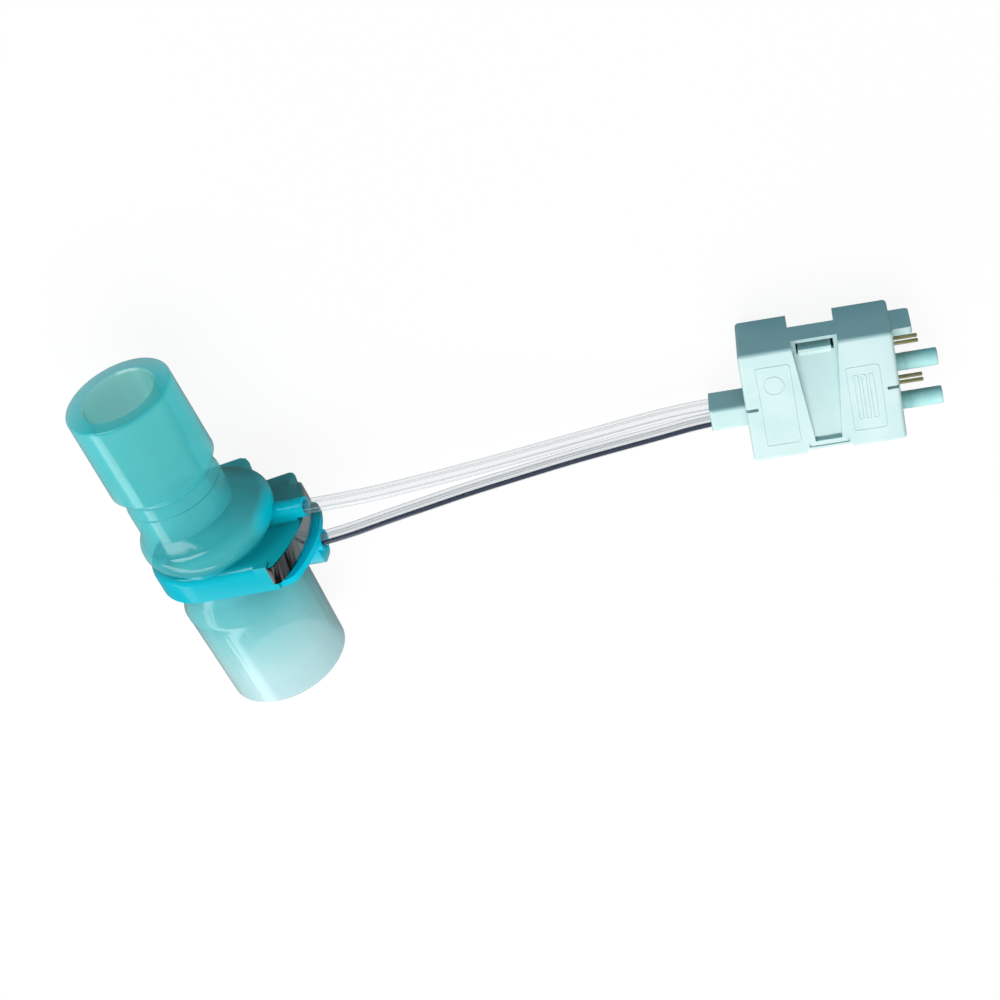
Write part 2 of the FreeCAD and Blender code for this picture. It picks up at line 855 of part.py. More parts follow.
def of_relief(edge):
    """Whether an edge lies along the strain relief or round its end, off the side where the shell begins."""
    box = edge.BoundBox
    root = -half_length.value
    return box.XMin < root - cell("relief_length").value + 0.01 and box.XMax < root + 0.01


def of_key(edge):
    """Whether an edge crosses the key's outer end."""
    return edge.BoundBox.XMin > key_end.value - 0.01 and edge.BoundBox.YLength > 1


half_width = cell("plug_width") / 2
wall = cell("plug_wall")
parting = cell("plug_parting")
height = cell("plug_height")
rear = new_body("rear_shell")
pad(rear, draw_box(new_sketch(rear, "XY_Plane"), -half_length, half_length, -half_width, half_width), parting)
soften(
    rear,
    cell("plug_round"),
    lambda edge: edge.BoundBox.ZLength > 5 or edge.BoundBox.ZMax < 0.01,
)
inside = new_sketch(rear, "XY_Plane", wall)
draw_box(inside, wall - half_length, half_length - wall, wall - half_width, half_width - wall)
pad(rear, inside, parting, cut=True, back=True)
notch_half = cell("notch_length") / 2
notch_mid = cell("notch_middle")
notch_floor = half_width - cell("notch_depth")
casing = new_sketch(rear, "XY_Plane")
draw_box(
    casing,
    notch_mid - notch_half - wall,
    notch_mid + notch_half + wall,
    notch_floor - wall,
    half_width - 0.5,
)
pad(rear, casing, parting)
casing = new_sketch(rear, "XY_Plane")
draw_box(casing, notch_mid - notch_half, notch_mid + notch_half, notch_floor, half_width + 1)
pad(rear, casing, cell("notch_height"), cut=True, back=True)
relief = new_sketch(rear, "YZ_Plane", -half_length - cell("relief_length"))
relief_low = cell("relief_side") - cell("relief_width")
draw_box(relief, relief_low, cell("relief_side"), cell("relief_low"), parting)
pad(rear, relief, cell("relief_length") + 0.5)
relief_end = -half_length - cell("relief_length")
soften(rear, cell("relief_round"), lambda edge: of_relief(edge) and edge.BoundBox.ZMax < parting.value - 0.01)
key = new_sketch(rear, "XY_Plane", cell("key_low"))
key_edge = cell("key_side") - cell("key_thick")
draw_box(key, half_length - 0.5, key_end, key_edge, cell("key_side"))
pad(rear, key, parting - cell("key_low"))
soften(rear, cell("key_round"), lambda edge: of_key(edge) and flat_at(cell("key_low"))(edge))
post = new_sketch(rear, "XY_Plane", wall - 0.3)
board_edge = notch_floor - wall - 0.5
board_side = wall - half_width + cell("board_margin")
board_right = half_length - wall - cell("board_end_gap")
post_inset = cell("post_radius") + 0.4
leg_low = half_length - cell("contact_inset")
leg_high = leg_low - cell("contact_stagger")
post_right = leg_high - cell("contact_radius") - cell("post_gap") - cell("post_radius")
draw_circle(post, cell("board_start") + post_inset, board_side + post_inset, cell("post_radius"))
draw_circle(post, post_right, board_side + post_inset, cell("post_radius"))
draw_circle(post, cell("board_start") + post_inset, board_edge - post_inset, cell("post_radius"))
draw_circle(post, post_right, board_edge - post_inset, cell("post_radius"))
pad(rear, post, cell("board_low") - wall + 0.3)
hook = new_sketch(rear, "YZ_Plane", notch_mid + 0.2 - cell("hook_half"))
hook_face = cell("hook_face")
hook_back = hook_face + cell("hook_thick")
hook_top = cell("hook_top")
draw(
    hook,
    [
        (hook_face, cell("notch_height") + 0.3),
        (hook_back, cell("notch_height") + 0.3),
        (hook_back, hook_top),
        (hook_back - 0.5, hook_top + 0.1),
        (hook_face - cell("hook_head"), hook_top - 0.45),
        (hook_face - cell("hook_head"), hook_top - 0.65),
        (hook_face, hook_top - 0.65),
    ],
)
pad(rear, hook, 2 * cell("hook_half"))
port_y = cell("port_y")
port_fit = cell("port_root_radius") + cell("port_fit")
ways = new_sketch(rear, "YZ_Plane", half_length - wall - 1)
draw_circle(ways, port_y, cell("port_z"), port_fit)
draw_circle(ways, port_y - cell("port_pitch"), cell("port_z"), port_fit)
pad(rear, ways, wall + 2, cut=True, back=True)
contact_y = cell("contact_y")
contact_far_y = contact_y - cell("contact_pitch_y")
contact_fit = cell("contact_radius") + cell("contact_fit")
ways = new_sketch(rear, "YZ_Plane", half_length - wall - 1)
draw_circle(ways, contact_y, cell("contact_low_z"), contact_fit)
draw_circle(ways, contact_far_y, cell("contact_low_z"), contact_fit)
pad(rear, ways, wall + 2, cut=True, back=True)
way = new_sketch(rear, "YZ_Plane", -half_length - cell("relief_length") - 1)
draw_circle(way, cell("tube_low_y"), cell("tube_low_z"), cell("tube_radius") + cell("relief_fit"))
pad(rear, way, cell("relief_length") + wall + 2, cut=True, back=True)
finish_plug(rear)

# Front shell of the plug
front = new_body("front_shell")
block = new_sketch(front, "XY_Plane", parting)
draw_box(block, -half_length, half_length, -half_width, half_width)
pad(front, block, height - parting)
soften(
    front,
    cell("plug_round"),
    lambda edge: edge.BoundBox.ZLength > 5 or edge.BoundBox.ZMin > height.value - 0.01,
)
inside = new_sketch(front, "XY_Plane", parting)
draw_box(inside, wall - half_length, half_length - wall, wall - half_width, half_width - wall)
pad(front, inside, height - parting - wall, cut=True, back=True)
grip_floor = cell("grip_floor")
grip_base = grip_floor - cell("grip_wall")
grip_wall = cell("grip_wall")
frame_block = new_sketch(front, "XY_Plane", grip_base)
draw(
    frame_block,
    [
        (-cell("grip_foot_half") - grip_wall, cell("grip_foot") - grip_wall),
        (cell("grip_foot_half") + grip_wall, cell("grip_foot") - grip_wall),
        (cell("grip_top_half") + grip_wall, half_width - 0.5),
        (-cell("grip_top_half") - grip_wall, half_width - 0.5),
    ],
)
pad(front, frame_block, height - grip_base - 0.5)
recess = new_sketch(front, "XY_Plane", grip_base + 0.4)
draw(
    recess,
    [
        (-cell("grip_foot_half"), cell("grip_foot")),
        (cell("grip_foot_half"), cell("grip_foot")),
        (cell("grip_top_half"), half_width + 1),
        (-cell("grip_top_half"), half_width + 1),
    ],
)
pad(front, recess, height, cut=True, back=True)
ramp = new_sketch(front, "YZ_Plane", -cell("grip_top_half") - grip_wall / 2)
draw(
    ramp,
    [
        (cell("grip_foot") - grip_wall / 2, grip_base),
        (half_width, grip_base),
        (half_width, grip_floor),
        (cell("grip_ledge"), cell("grip_ledge_floor")),
        (cell("grip_foot") - grip_wall / 2, cell("grip_foot_floor")),
    ],
)
pad(front, ramp, 2 * cell("grip_top_half") + grip_wall)
window = new_sketch(front, "XY_Plane", grip_base - 1)
draw_box(window, -cell("window_half"), cell("window_half"), cell("window_low"), cell("window_high"))
pad(front, window, height, cut=True, back=True)
slit = new_sketch(front, "XY_Plane", height - cell("slit_depth"))
draw_box(
    slit,
    -cell("grip_foot_half"),
    cell("grip_foot_half"),
    cell("grip_foot") - cell("slit_width"),
    cell("grip_foot") + 0.2,
)
pad(front, slit, cell("slit_depth") + 1, cut=True, back=True)
step = new_sketch(front, "XY_Plane", parting + cell("step_foot"))
draw_box(step, -cell("step_half"), cell("step_half"), -half_width - 1, cell("step_depth") - half_width)
pad(front, step, height, cut=True, back=True)
latch = new_sketch(front, "XY_Plane", height - cell("latch_depth"))
latch_out = cell("latch_half") + cell("latch_line")
latch_floor = -cell("latch_foot") + cell("latch_line")
draw(
    latch,
    [
        (-latch_out, -cell("latch_foot")),
        (latch_out, -cell("latch_foot")),
        (latch_out, -cell("latch_top")),
        (cell("latch_half"), -cell("latch_top")),
        (cell("latch_half"), latch_floor),
        (-cell("latch_half"), latch_floor),
        (-cell("latch_half"), -cell("latch_top")),
        (-latch_out, -cell("latch_top")),
    ],
)
pad(front, latch, height, cut=True, back=True)
slots = new_sketch(front, "XY_Plane", height - cell("slot_depth"))
slot_y = -cell("slot_offset")
slot_half = cell("slot_width") / 2
draw_box(slots, -half_length - 1, cell("slot_length") - half_length, slot_y - slot_half, slot_y + slot_half)
pad(front, slots, height, cut=True, back=True)
slots = new_sketch(front, "XY_Plane", height - cell("slot_depth"))
draw_box(slots, half_length - cell("slot_length"), half_length - 0.2, slot_y, slot_y + 2 * slot_half)
pad(front, slots, height, cut=True, back=True)
relief = new_sketch(front, "YZ_Plane", -half_length - cell("relief_length"))
draw_box(relief, relief_low, cell("relief_side"), parting, cell("relief_high"))
pad(front, relief, cell("relief_length") + 0.5)
soften(front, cell("relief_round"), lambda edge: of_relief(edge) and edge.BoundBox.ZMin > parting.value + 0.01)
key = new_sketch(front, "XY_Plane", parting)
draw_box(key, half_length - 0.5, key_end, key_edge, cell("key_side"))
pad(front, key, cell("key_high") - parting)
soften(front, cell("key_round"), lambda edge: of_key(edge) and flat_at(cell("key_high"))(edge))
ways = new_sketch(front, "YZ_Plane", half_length - wall - 1)
draw_circle(ways, port_y, cell("port_z"), port_fit)
draw_circle(ways, port_y - cell("port_pitch"), cell("port_z"), port_fit)
pad(front, ways, wall + 2, cut=True, back=True)
contact_high = cell("contact_low_z") + cell("contact_pitch_z")
ways = new_sketch(front, "YZ_Plane", half_length - wall - 1)
draw_circle(ways, contact_y, contact_high, contact_fit)
draw_circle(ways, contact_far_y, contact_high, contact_fit)
pad(front, ways, wall + 2, cut=True, back=True)
way = new_sketch(front, "YZ_Plane", -half_length - cell("relief_length") - 1)
draw_circle(way, cell("tube_high_y"), cell("tube_high_z"), cell("tube_radius") + cell("relief_fit"))
pad(front, way, cell("relief_length") + wall + 2, cut=True, back=True)
finish_plug(front)

# Port block with its two nozzles and the barbs for the tubes
ports = new_body("port_block")
collar_start = half_length - wall - gap - cell("port_collar")
port_end = half_length + cell("port_reach")
strip = new_sketch(ports, "YZ_Plane", collar_start)
strip_half = cell("port_strip_half")
draw_box(strip, port_y - cell("port_pitch"), port_y, cell("port_z") - strip_half, cell("port_z") + strip_half)
pad(ports, strip, cell("port_collar"))
for side in (port_y, port_y - cell("port_pitch")):
    ring = new_sketch(ports, "YZ_Plane", collar_start)
    draw_circle(ring, side, cell("port_z"), cell("port_collar_radius"))
    pad(ports, ring, cell("port_collar"))
    neck = new_sketch(ports, "YZ_Plane", collar_start)
    draw_circle(neck, side, cell("port_z"), cell("port_root_radius"))
    pad(ports, neck, half_length - collar_start)
    nozzle = new_sketch(ports, "YZ_Plane", collar_start)
    draw_circle(nozzle, side, cell("port_z"), cell("port_radius"))
    pad(ports, nozzle, port_end - collar_start)
    soften(
        ports,
        cell("port_nose"),
        lambda edge: edge.BoundBox.XMin > port_end.value - 0.01
        and abs(edge.BoundBox.Center.y - side.value) < 0.1,
    )
    barb = new_sketch(ports, "YZ_Plane", collar_start - cell("barb_length"))
    draw_circle(barb, side, cell("port_z"), cell("barb_radius"))
    pad(ports, barb, cell("barb_length") + 0.2)
for side in (port_y, port_y - cell("port_pitch")):
    bore = new_sketch(ports, "YZ_Plane", collar_start + 0.1)
    draw_circle(bore, side, cell("port_z"), cell("port_bore"))
    pad(ports, bore, port_end, cut=True, back=True)
    bore = new_sketch(ports, "YZ_Plane", collar_start - cell("barb_length") - 1)
    draw_circle(bore, side, cell("port_z"), cell("barb_bore"))
    pad(ports, bore, cell("barb_length") + 2, cut=True, back=True)
finish_plug(ports)

# Circuit board with its memory chip and capacitor
board = new_body("circuit_board")
board_top = cell("board_low") + cell("board_thick")
panel = new_sketch(board, "XY_Plane", cell("board_low"))
draw_box(panel, cell("board_start"), board_right, board_side, board_edge)
pad(board, panel, cell("board_thick"))
holes = new_sketch(board, "XY_Plane", cell("board_low"))
leg_fit = cell("contact_radius") + 0.05
draw_circle(holes, leg_low, contact_y, leg_fit)
draw_circle(holes, leg_high, contact_y, leg_fit)
draw_circle(holes, leg_low, contact_far_y, leg_fit)
draw_circle(holes, leg_high, contact_far_y, leg_fit)
pad(board, holes, cell("board_thick"), cut=True, back=True)
finish_plug(board)

chip = new_body("memory_chip")
chip_y = cell("chip_y")
outline = new_sketch(chip, "XY_Plane", board_top)
draw_box(
    outline,
    -cell("chip_length") / 2,
    cell("chip_length") / 2,
    chip_y - cell("chip_width") / 2,
    chip_y + cell("chip_width") / 2,
)
pad(chip, outline, cell("chip_height"))
finish_plug(chip)

capacitor = new_body("capacitor")
outline = new_sketch(capacitor, "XY_Plane", board_top)
draw_box(
    outline,
    cell("capacitor_x"),
    cell("capacitor_x") + cell("capacitor_length"),
    chip_y - cell("capacitor_width") / 2,
    chip_y + cell("capacitor_width") / 2,
)
pad(capacitor, outline, cell("capacitor_width"))
finish_plug(capacitor)

# Pin headers and their four contact pins
contact_end = half_length + cell("contact_reach")
for number, side in enumerate((contact_y, contact_far_y), start=1):
    header = new_body(f"pin_header_{number}")
    header_half = cell("header_half_width")
    header_start = leg_low + 0.7
    outline = new_sketch(header, "XY_Plane", board_top)
    draw_box(
        outline,
        header_start,
        header_start + cell("header_length"),
        side - header_half,
        side + header_half,
    )
    pad(header, outline, contact_high + cell("header_rise") - board_top)
    for level in (cell("contact_low_z"), contact_high):
        way = new_sketch(header, "YZ_Plane", header_start)
        draw_circle(way, side, level, cell("contact_radius") + 0.02)
        pad(header, way, cell("header_length"), cut=True, back=True)
    finish_plug(header)
    for order, level in enumerate((cell("contact_low_z"), contact_high), start=1):
        pin = new_body(f"contact_pin_{2 * number - 2 + order}")
        start = leg_low if order == 1 else leg_high
        radius = cell("contact_radius")
        straight = new_sketch(pin, "YZ_Plane", start - radius)
        draw_circle(straight, side, level, radius)
        pad(pin, straight, contact_end - start + radius)
        soften(pin, cell("contact_nose"), lambda edge: edge.BoundBox.XMin > contact_end.value - 0.01)
        leg = new_sketch(pin, "XY_Plane", cell("board_low") - 0.3)
        draw_circle(leg, start, side, radius)
        pad(pin, leg, level - cell("board_low") + 0.3)
        finish_plug(pin)


# The two tubes: straight runs joined by arcs, from a stub's seat through the strain relief to a barb
LOWER_ROUTE = (
    (-89.26, -7.83, 24.02),
    (-80.80, -6.45, 23.15),
    (-72.40, -5.62, 21.58),
    (-63.00, -5.02, 19.15),
    (-53.00, -4.72, 16.35),
    (-43.73, -4.68, 13.93),
    (-34.60, -4.38, 12.05),
)
UPPER_ROUTE = (
    (-92.02, -1.90, 25.05),
    (-83.85, -1.72, 23.75),
    (-75.83, -1.97, 21.47),
    (-66.50, -2.35, 18.25),
    (-57.00, -2.80, 14.45),
    (-47.62, -3.22, 10.90),
    (-39.00, -3.36, 8.05),
    (-31.40, -3.30, 6.30),
)


def route_points(stub, route, plug):
    """The corners of a tube's route: the run in its stub, the free run and the way through the plug."""
    points = [sensor_place.multVec(Vector(*spot)) for spot in stub]
    return points + [Vector(*spot) + plug_place.Base for spot in route + plug]


def sweep_route(points):
    """The wire of a route: each corner is turned by an arc that touches both of its runs."""
    edges = []
    last = points[0]
    radii = []
    for before, corner, after in zip(points, points[1:], points[2:]):
        back_way = (before - corner).normalize()
        on_way = (after - corner).normalize()
        half_turn = (math.pi - back_way.getAngle(on_way)) / 2
        run = 0.45 * min((before - corner).Length, (after - corner).Length)
        radius = run / math.tan(half_turn)
        radii.append(radius)
        start, end = corner + back_way * run, corner + on_way * run
        inward = (back_way + on_way).normalize()
        centre = corner + inward * (radius / math.cos(half_turn))
        middle = centre - inward * radius
        edges.append(Part.LineSegment(last, start).toShape())
        edges.append(Part.Arc(start, middle, end).toShape())
        last = end
    edges.append(Part.LineSegment(last, points[-1]).toShape())
    return Part.Wire(edges), radii


def tube(label, points):
    """A hollow tube along a route."""
    seat_spot = points[0]
    path, radii = sweep_route([spot - seat_spot for spot in points])
    heading = (points[1] - points[0]).normalize()
    outer = Part.Wire([Part.Circle(Vector(), heading, SIZES["tube_radius"]).toShape()])
    inner = Part.Wire([Part.Circle(Vector(), heading, SIZES["tube_bore"]).toShape()])
    skin = path.makePipeShell([outer], True, False)
    core = path.makePipeShell([inner], True, False)
    piece = doc.addObject("Part::Feature", label)
    piece.Label = label
    solid = skin.cut(core)
    piece.Shape = solid
    piece.Placement = Placement(seat_spot, Rotation())
    section = math.pi * (SIZES["tube_radius"] ** 2 - SIZES["tube_bore"] ** 2)
    print(f"{label}: {path.Length:.1f} mm, smallest arc {min(radii):.1f} mm")
    print(f"{label}: volume {solid.Volume:.1f} mm3 for {section * path.Length:.1f} mm3")
    print(f"{label}: " + " ".join(f"({p.x:.3f}, {p.y:.3f}, {p.z:.3f})" for p in points))
    return piece


def stub_run(mouth, level):
    """The straight run of a tube that a stub holds, from the seat outwards."""
    seat = mouth - SIZES["stub_seat"]
    return (seat, SIZES["stub_side"], level), (seat + SIZES["tube_straight"], SIZES["stub_side"], level)


def plug_run(relief, barb):
    """A tube's way through the strain relief and on to its barb."""
    entry = -SIZES["plug_length"] / 2 - SIZES["relief_length"]
    barb_root = SIZES["plug_length"] / 2 - SIZES["plug_wall"] - SIZES["port_collar"] - 2 * SIZES["seat_gap"]
    return (
        (entry - 0.5, *relief),
        (entry + SIZES["tube_inner_run"], *relief),
        (barb_root - SIZES["tube_barb_run"], *barb),
        (barb_root, *barb),
    )


port_one = (SIZES["port_y"], SIZES["port_z"])
port_two = (SIZES["port_y"] - SIZES["port_pitch"], SIZES["port_z"])
low_spot = (SIZES["tube_low_y"], SIZES["tube_low_z"])
high_spot = (SIZES["tube_high_y"], SIZES["tube_high_z"])
tube(
    "upper_tube",
    route_points(stub_run(SIZES["stub_end"], SIZES["stub_level"]), UPPER_ROUTE, plug_run(low_spot, port_one)),
)
tube(
    "lower_tube",
    route_points(stub_run(SIZES["boss_end"], -SIZES["boss_level"]), LOWER_ROUTE, plug_run(high_spot, port_two)),
)

os.makedirs("parts", exist_ok=True)
doc.recompute()
for item in doc.Objects:
    if {"Invalid", "Error"} & set(item.State):
        raise RuntimeError(f"{item.Label}: {item.State}")
for piece in [item for item in doc.Objects if item.TypeId in ("PartDesign::Body", "Part::Feature")]:
    if piece.Shape.isNull() or not piece.Shape.isValid():
        raise RuntimeError(f"{piece.Label} has no valid shape")
    piece.Shape.exportStep(f"parts/{piece.Label}.step")
    box = piece.Shape.BoundBox
    extent = f"x {box.XMin:.2f} {box.XMax:.2f} y {box.YMin:.2f} {box.YMax:.2f} z {box.ZMin:.2f} {box.ZMax:.2f}"
    print(piece.Label, extent, f"{piece.Shape.Volume:.1f} mm3, solids {len(piece.Shape.Solids)}")
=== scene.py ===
"""Anaesthesia flow sensor on a plain white table: finishes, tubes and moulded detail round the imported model.

Lengths are metres in the model's own frame: +X from the sensor along the tubes to the plug, +Z up.
"""

import logging
import math
from dataclasses import dataclass, field
from enum import Enum
from functools import cache

import bmesh
import bpy
import numpy as np
from mathutils import Matrix, Vector


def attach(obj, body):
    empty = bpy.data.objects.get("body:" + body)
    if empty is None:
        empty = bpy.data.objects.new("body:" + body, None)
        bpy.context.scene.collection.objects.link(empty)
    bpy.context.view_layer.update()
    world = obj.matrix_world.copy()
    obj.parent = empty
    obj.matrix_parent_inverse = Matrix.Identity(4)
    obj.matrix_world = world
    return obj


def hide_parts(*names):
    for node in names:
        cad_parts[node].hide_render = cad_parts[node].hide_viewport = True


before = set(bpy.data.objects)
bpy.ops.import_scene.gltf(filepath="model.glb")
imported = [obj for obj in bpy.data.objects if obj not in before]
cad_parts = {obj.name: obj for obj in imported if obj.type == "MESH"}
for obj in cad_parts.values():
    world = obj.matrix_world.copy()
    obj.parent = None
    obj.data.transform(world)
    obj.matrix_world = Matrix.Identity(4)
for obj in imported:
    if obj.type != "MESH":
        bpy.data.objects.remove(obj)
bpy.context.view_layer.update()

LOG = logging.getLogger("flow_sensor")
MM = 0.001
SENSOR = "sensor"
FLAP = "flap"
Point = tuple[float, float, float]
Colour = tuple[float, float, float]
Span = tuple[float, float]
Stops = tuple[tuple[float, Colour], ...]
Turns = tuple[tuple[str, float], ...]
Socket = bpy.types.NodeSocket
Value = Socket | float
Tint = Socket | Colour


def turned(turns: Turns) -> Matrix:
    """Turns something about its own axes, one after the other.

    Args:
        turns: each turn's axis and degrees, in order.

    Returns:
        The rotation; its columns are the turned axes.
    """
    rotation = Matrix.Identity(3)
    for axis, degrees in turns:
        rotation = rotation @ Matrix.Rotation(math.radians(degrees), 3, axis)
    return rotation


# How the sensor lies on the table. Its axes go across towards the tubes, over down to the table, and along
# the bore to the inlet. Its origin is on the inlet's axis where the flanges meet.
SENSOR_TURNS: Turns = (("Z", 10.3012), ("X", 12.7654), ("Y", -12.9020), ("X", -90.0))
SENSOR_AXES: tuple[Point, ...] = tuple(tuple(axis) for axis in turned(SENSOR_TURNS).transposed())
SENSOR_ORIGIN: Point = (-0.06675, -0.00572, 0.019097)

# Masks on the sensor, in millimetres along one of its axes: 0 at the first value and 1 at the second.
RIM_LEVEL: Span = (4.6, 3.6)
RIM_FRONT: Span = (-6.0, -11.2)
STUB_REACH: Span = (15.0, 17.5)
STUB_LEVEL: Span = (4.7, 5.3)
LUG_OVER: Span = (4.0, 10.0)
LUG_LEVEL: Span = (14.0, 12.0)
FLANGE_TOP: Span = (5.4, 4.2)
FLANGE_FOOT: Span = (-5.0, -3.0)
LIP_REACH: Span = (16.5, 18.0)
LIP_LEVEL: Span = (-8.5, -5.0)
HOOK_END: Span = (-2.0, -11.0)


class Slot(Enum):
    """The record's material slots, one for each finish."""

    INLET = "inlet_shell"
    OUTLET = "outlet_shell"
    SHEET = "metering_sheet"
    BAND = "band_metal"
    PLUG = "plug_shell"
    PORT = "port_plastic"
    BOARD = "board"
    CHIP = "chip_resin"
    CERAMIC = "capacitor_ceramic"
    HEADER = "header_plastic"
    GOLD = "contact_gold"
    TUBE = "tube_plastic"


class Group(Enum):
    """The nodes whose pieces a small lamp lights alone."""

    SENSOR_BODY = ("upper_housing", "lower_housing", "flap_frame", "flap_leaf", "clamp_band")
    PLUG = ("rear_shell", "front_shell", "port_block")


def linear(colour: Colour) -> tuple[float, float, float, float]:
    """Turns an sRGB colour of 0 to 255 into linear light.

    Args:
        colour: red, green and blue, 0 to 255.

    Returns:
        Linear red, green, blue and an alpha of 1.
    """
    parts = [value / 255 for value in colour]
    light = [p / 12.92 if p <= 0.04045 else ((p + 0.055) / 1.055) ** 2.4 for p in parts]
    return (light[0], light[1], light[2], 1.0)


def add_piece(name: str, data: bpy.types.ID) -> bpy.types.Object:
    """Puts a new object in the scene.

    Args:
        name: the object's name.
        data: its mesh, curve, lamp or camera data.

    Returns:
        The object.
    """
    piece = bpy.data.objects.new(name, data)
    bpy.context.scene.collection.objects.link(piece)
    return piece


@dataclass(frozen=True)
class Grain:
    """A fine pattern that roughens a surface.

    It has so many cells a metre, stands out by depth metres and shows by the share strength; detail is how
    many finer layers it has.
    """

    cells: float
    depth: float
    strength: float
    detail: float = 2.0


class NodeBoard:
    """Adds shader nodes to a material or to the world and wires them."""

    def __init__(self, owner: bpy.types.ID, output: str) -> None:
        """Clears the owner's nodes and adds its output.

        Args:
            owner: the material or the world that the nodes belong to.
            output: the output node's Blender type.
        """
        owner.use_nodes = True
        self.owner = owner
        self.tree = owner.node_tree
        self.tree.nodes.clear()
        self.output = self.add(output)

    @classmethod
    def for_material(cls, name: str) -> "NodeBoard":
        """Starts an empty material called name."""
        return cls(bpy.data.materials.new(name), "ShaderNodeOutputMaterial")

    def add(self, kind: str, **settings: object) -> bpy.types.Node:
        """Adds one node.

        Args:
            kind: the node's Blender type.
            settings: its properties.

        Returns:
            The new node.
        """
        node = self.tree.nodes.new(kind)
        for name, value in settings.items():
            setattr(node, name, value)
        return node

    def wire(self, source: Socket, target: Socket) -> None:
        """Links one socket to another."""
        self.tree.links.new(source, target)

    def feed(self, value: Value, target: Socket) -> None:
        """Links a socket to an input, or sets the input to a number.

        Args:
            value: the socket or the number.
            target: the input.
        """
        if isinstance(value, Socket):
            self.wire(value, target)
        else:
            target.default_value = value

    def principled(self, values: dict[str, object]) -> bpy.types.Node:
        """Adds a Principled shader with these socket values and sends it to the output.

        Args:
            values: socket names and what they are set to.

        Returns:
            The shader node.
        """
        shader = self.add("ShaderNodeBsdfPrincipled")
        for name, value in values.items():
            shader.inputs[name].default_value = value
        self.wire(shader.outputs[0], self.output.inputs[0])
        return shader

    def noise(self, cells: float, detail: float = 2.0, stretch: Point | None = None) -> Socket:
        """Adds a noise texture that follows the object's own coordinates.

        Args:
            cells: cells a metre.
            detail: how many finer layers it has.
            stretch: how much longer a cell is along each axis, or None for round cells.

        Returns:
            The noise's socket, 0 to 1.
        """
        place = self.add("ShaderNodeTexCoord").outputs["Object"]
        if stretch:
            turned = self.add("ShaderNodeMapping", vector_type="TEXTURE")
            turned.inputs["Scale"].default_value = stretch
            self.wire(place, turned.inputs["Vector"])
            place = turned.outputs[0]
        texture = self.add("ShaderNodeTexNoise")
        texture.inputs["Scale"].default_value = cells
        texture.inputs["Detail"].default_value = detail
        self.wire(place, texture.inputs["Vector"])
        return texture.outputs["Fac"]

    def painted(self, name: str) -> Socket:
        """Reads the values that are painted on the mesh under a name."""
        return self.add("ShaderNodeAttribute", attribute_name=name).outputs["Fac"]

    def along(self, axis: Point, origin: Point) -> Socket:
        """Measures how far each spot lies from an origin along an axis of the object's coordinates.

        Args:
            axis: the axis, of length 1.
            origin: where the distance is 0, in metres.

        Returns:
            The distance's socket, in millimetres.
        """
        place = self.add("ShaderNodeTexCoord")
        shift = self.add("ShaderNodeVectorMath", operation="SUBTRACT")
        shift.inputs[1].default_value = origin
        self.wire(place.outputs["Object"], shift.inputs[0])
        dot = self.add("ShaderNodeVectorMath", operation="DOT_PRODUCT")
        dot.inputs[1].default_value = tuple(part / MM for part in axis)
        self.wire(shift.outputs["Vector"], dot.inputs[0])
        return dot.outputs["Value"]

    def math(self, operation: str, first: Value, second: Value = 0.0) -> Socket:
        """Combines two sockets or numbers.

        Args:
            operation: the Math node's operation.
            first: a socket or a number.
            second: a socket or a number.

        Returns:
            The result's socket.
        """
        node = self.add("ShaderNodeMath", operation=operation)
        self.feed(first, node.inputs[0])
        self.feed(second, node.inputs[1])
        return node.outputs[0]

    def times(self, first: Value, second: Value) -> Socket:
        """Multiplies two sockets or numbers."""
        return self.math("MULTIPLY", first, second)

    def larger(self, first: Value, second: Value) -> Socket:
        """Takes the larger of two sockets or numbers."""
        return self.math("MAXIMUM", first, second)

    def inverse(self, value: Value) -> Socket:
        """Takes a share from 1."""
        return self.math("SUBTRACT", 1.0, value)

    def spread(self, value: Socket, span: Span, onto: Span = (0.0, 1.0), kind: str = "LINEAR") -> Socket:
        """Maps a span of values onto another and holds both ends.

        Args:
            value: the socket that decides.
            span: its least and most value.
            onto: what those two give.
            kind: the Map Range node's interpolation.

        Returns:
            The mapped socket.
        """
        node = self.add("ShaderNodeMapRange", interpolation_type=kind)
        for name, number in zip(("From Min", "From Max", "To Min", "To Max"), (*span, *onto)):
            node.inputs[name].default_value = number
        self.wire(value, node.inputs["Value"])
        return node.outputs[0]

    def step(self, value: Socket, span: Span) -> Socket:
        """Eases from 0 where the value is the span's first number to 1 where it is the second.

        Args:
            value: the socket that decides.
            span: the two numbers; the second may lie below the first.

        Returns:
            The eased socket.
        """
        start, end = span
        onto = (0.0, 1.0) if start < end else (1.0, 0.0)
        return self.spread(value, (min(span), max(span)), onto, "SMOOTHSTEP")

    def patch(self, first: Socket, first_span: Span, second: Socket, second_span: Span) -> Socket:
        """Marks where two values are both past their spans."""
        return self.times(self.step(first, first_span), self.step(second, second_span))

    def ramp(self, value: Socket, stops: Stops) -> Socket:
        """Colours a value through a row of stops.

        Args:
            value: the socket that decides.
            stops: values in rising order, each with its sRGB colour.

        Returns:
            The colour's socket.
        """
        low, high = stops[0][0], stops[-1][0]
        ramp = self.add("ShaderNodeValToRGB")
        elements = ramp.color_ramp.elements
        elements[0].position, elements[0].color = 0.0, linear(stops[0][1])
        elements[1].position, elements[1].color = 1.0, linear(stops[-1][1])
        for level, colour in stops[1:-1]:
            element = elements.new((level - low) / (high - low))
            element.color = linear(colour)
        self.wire(self.spread(value, (low, high)), ramp.inputs[0])
        return ramp.outputs[0]

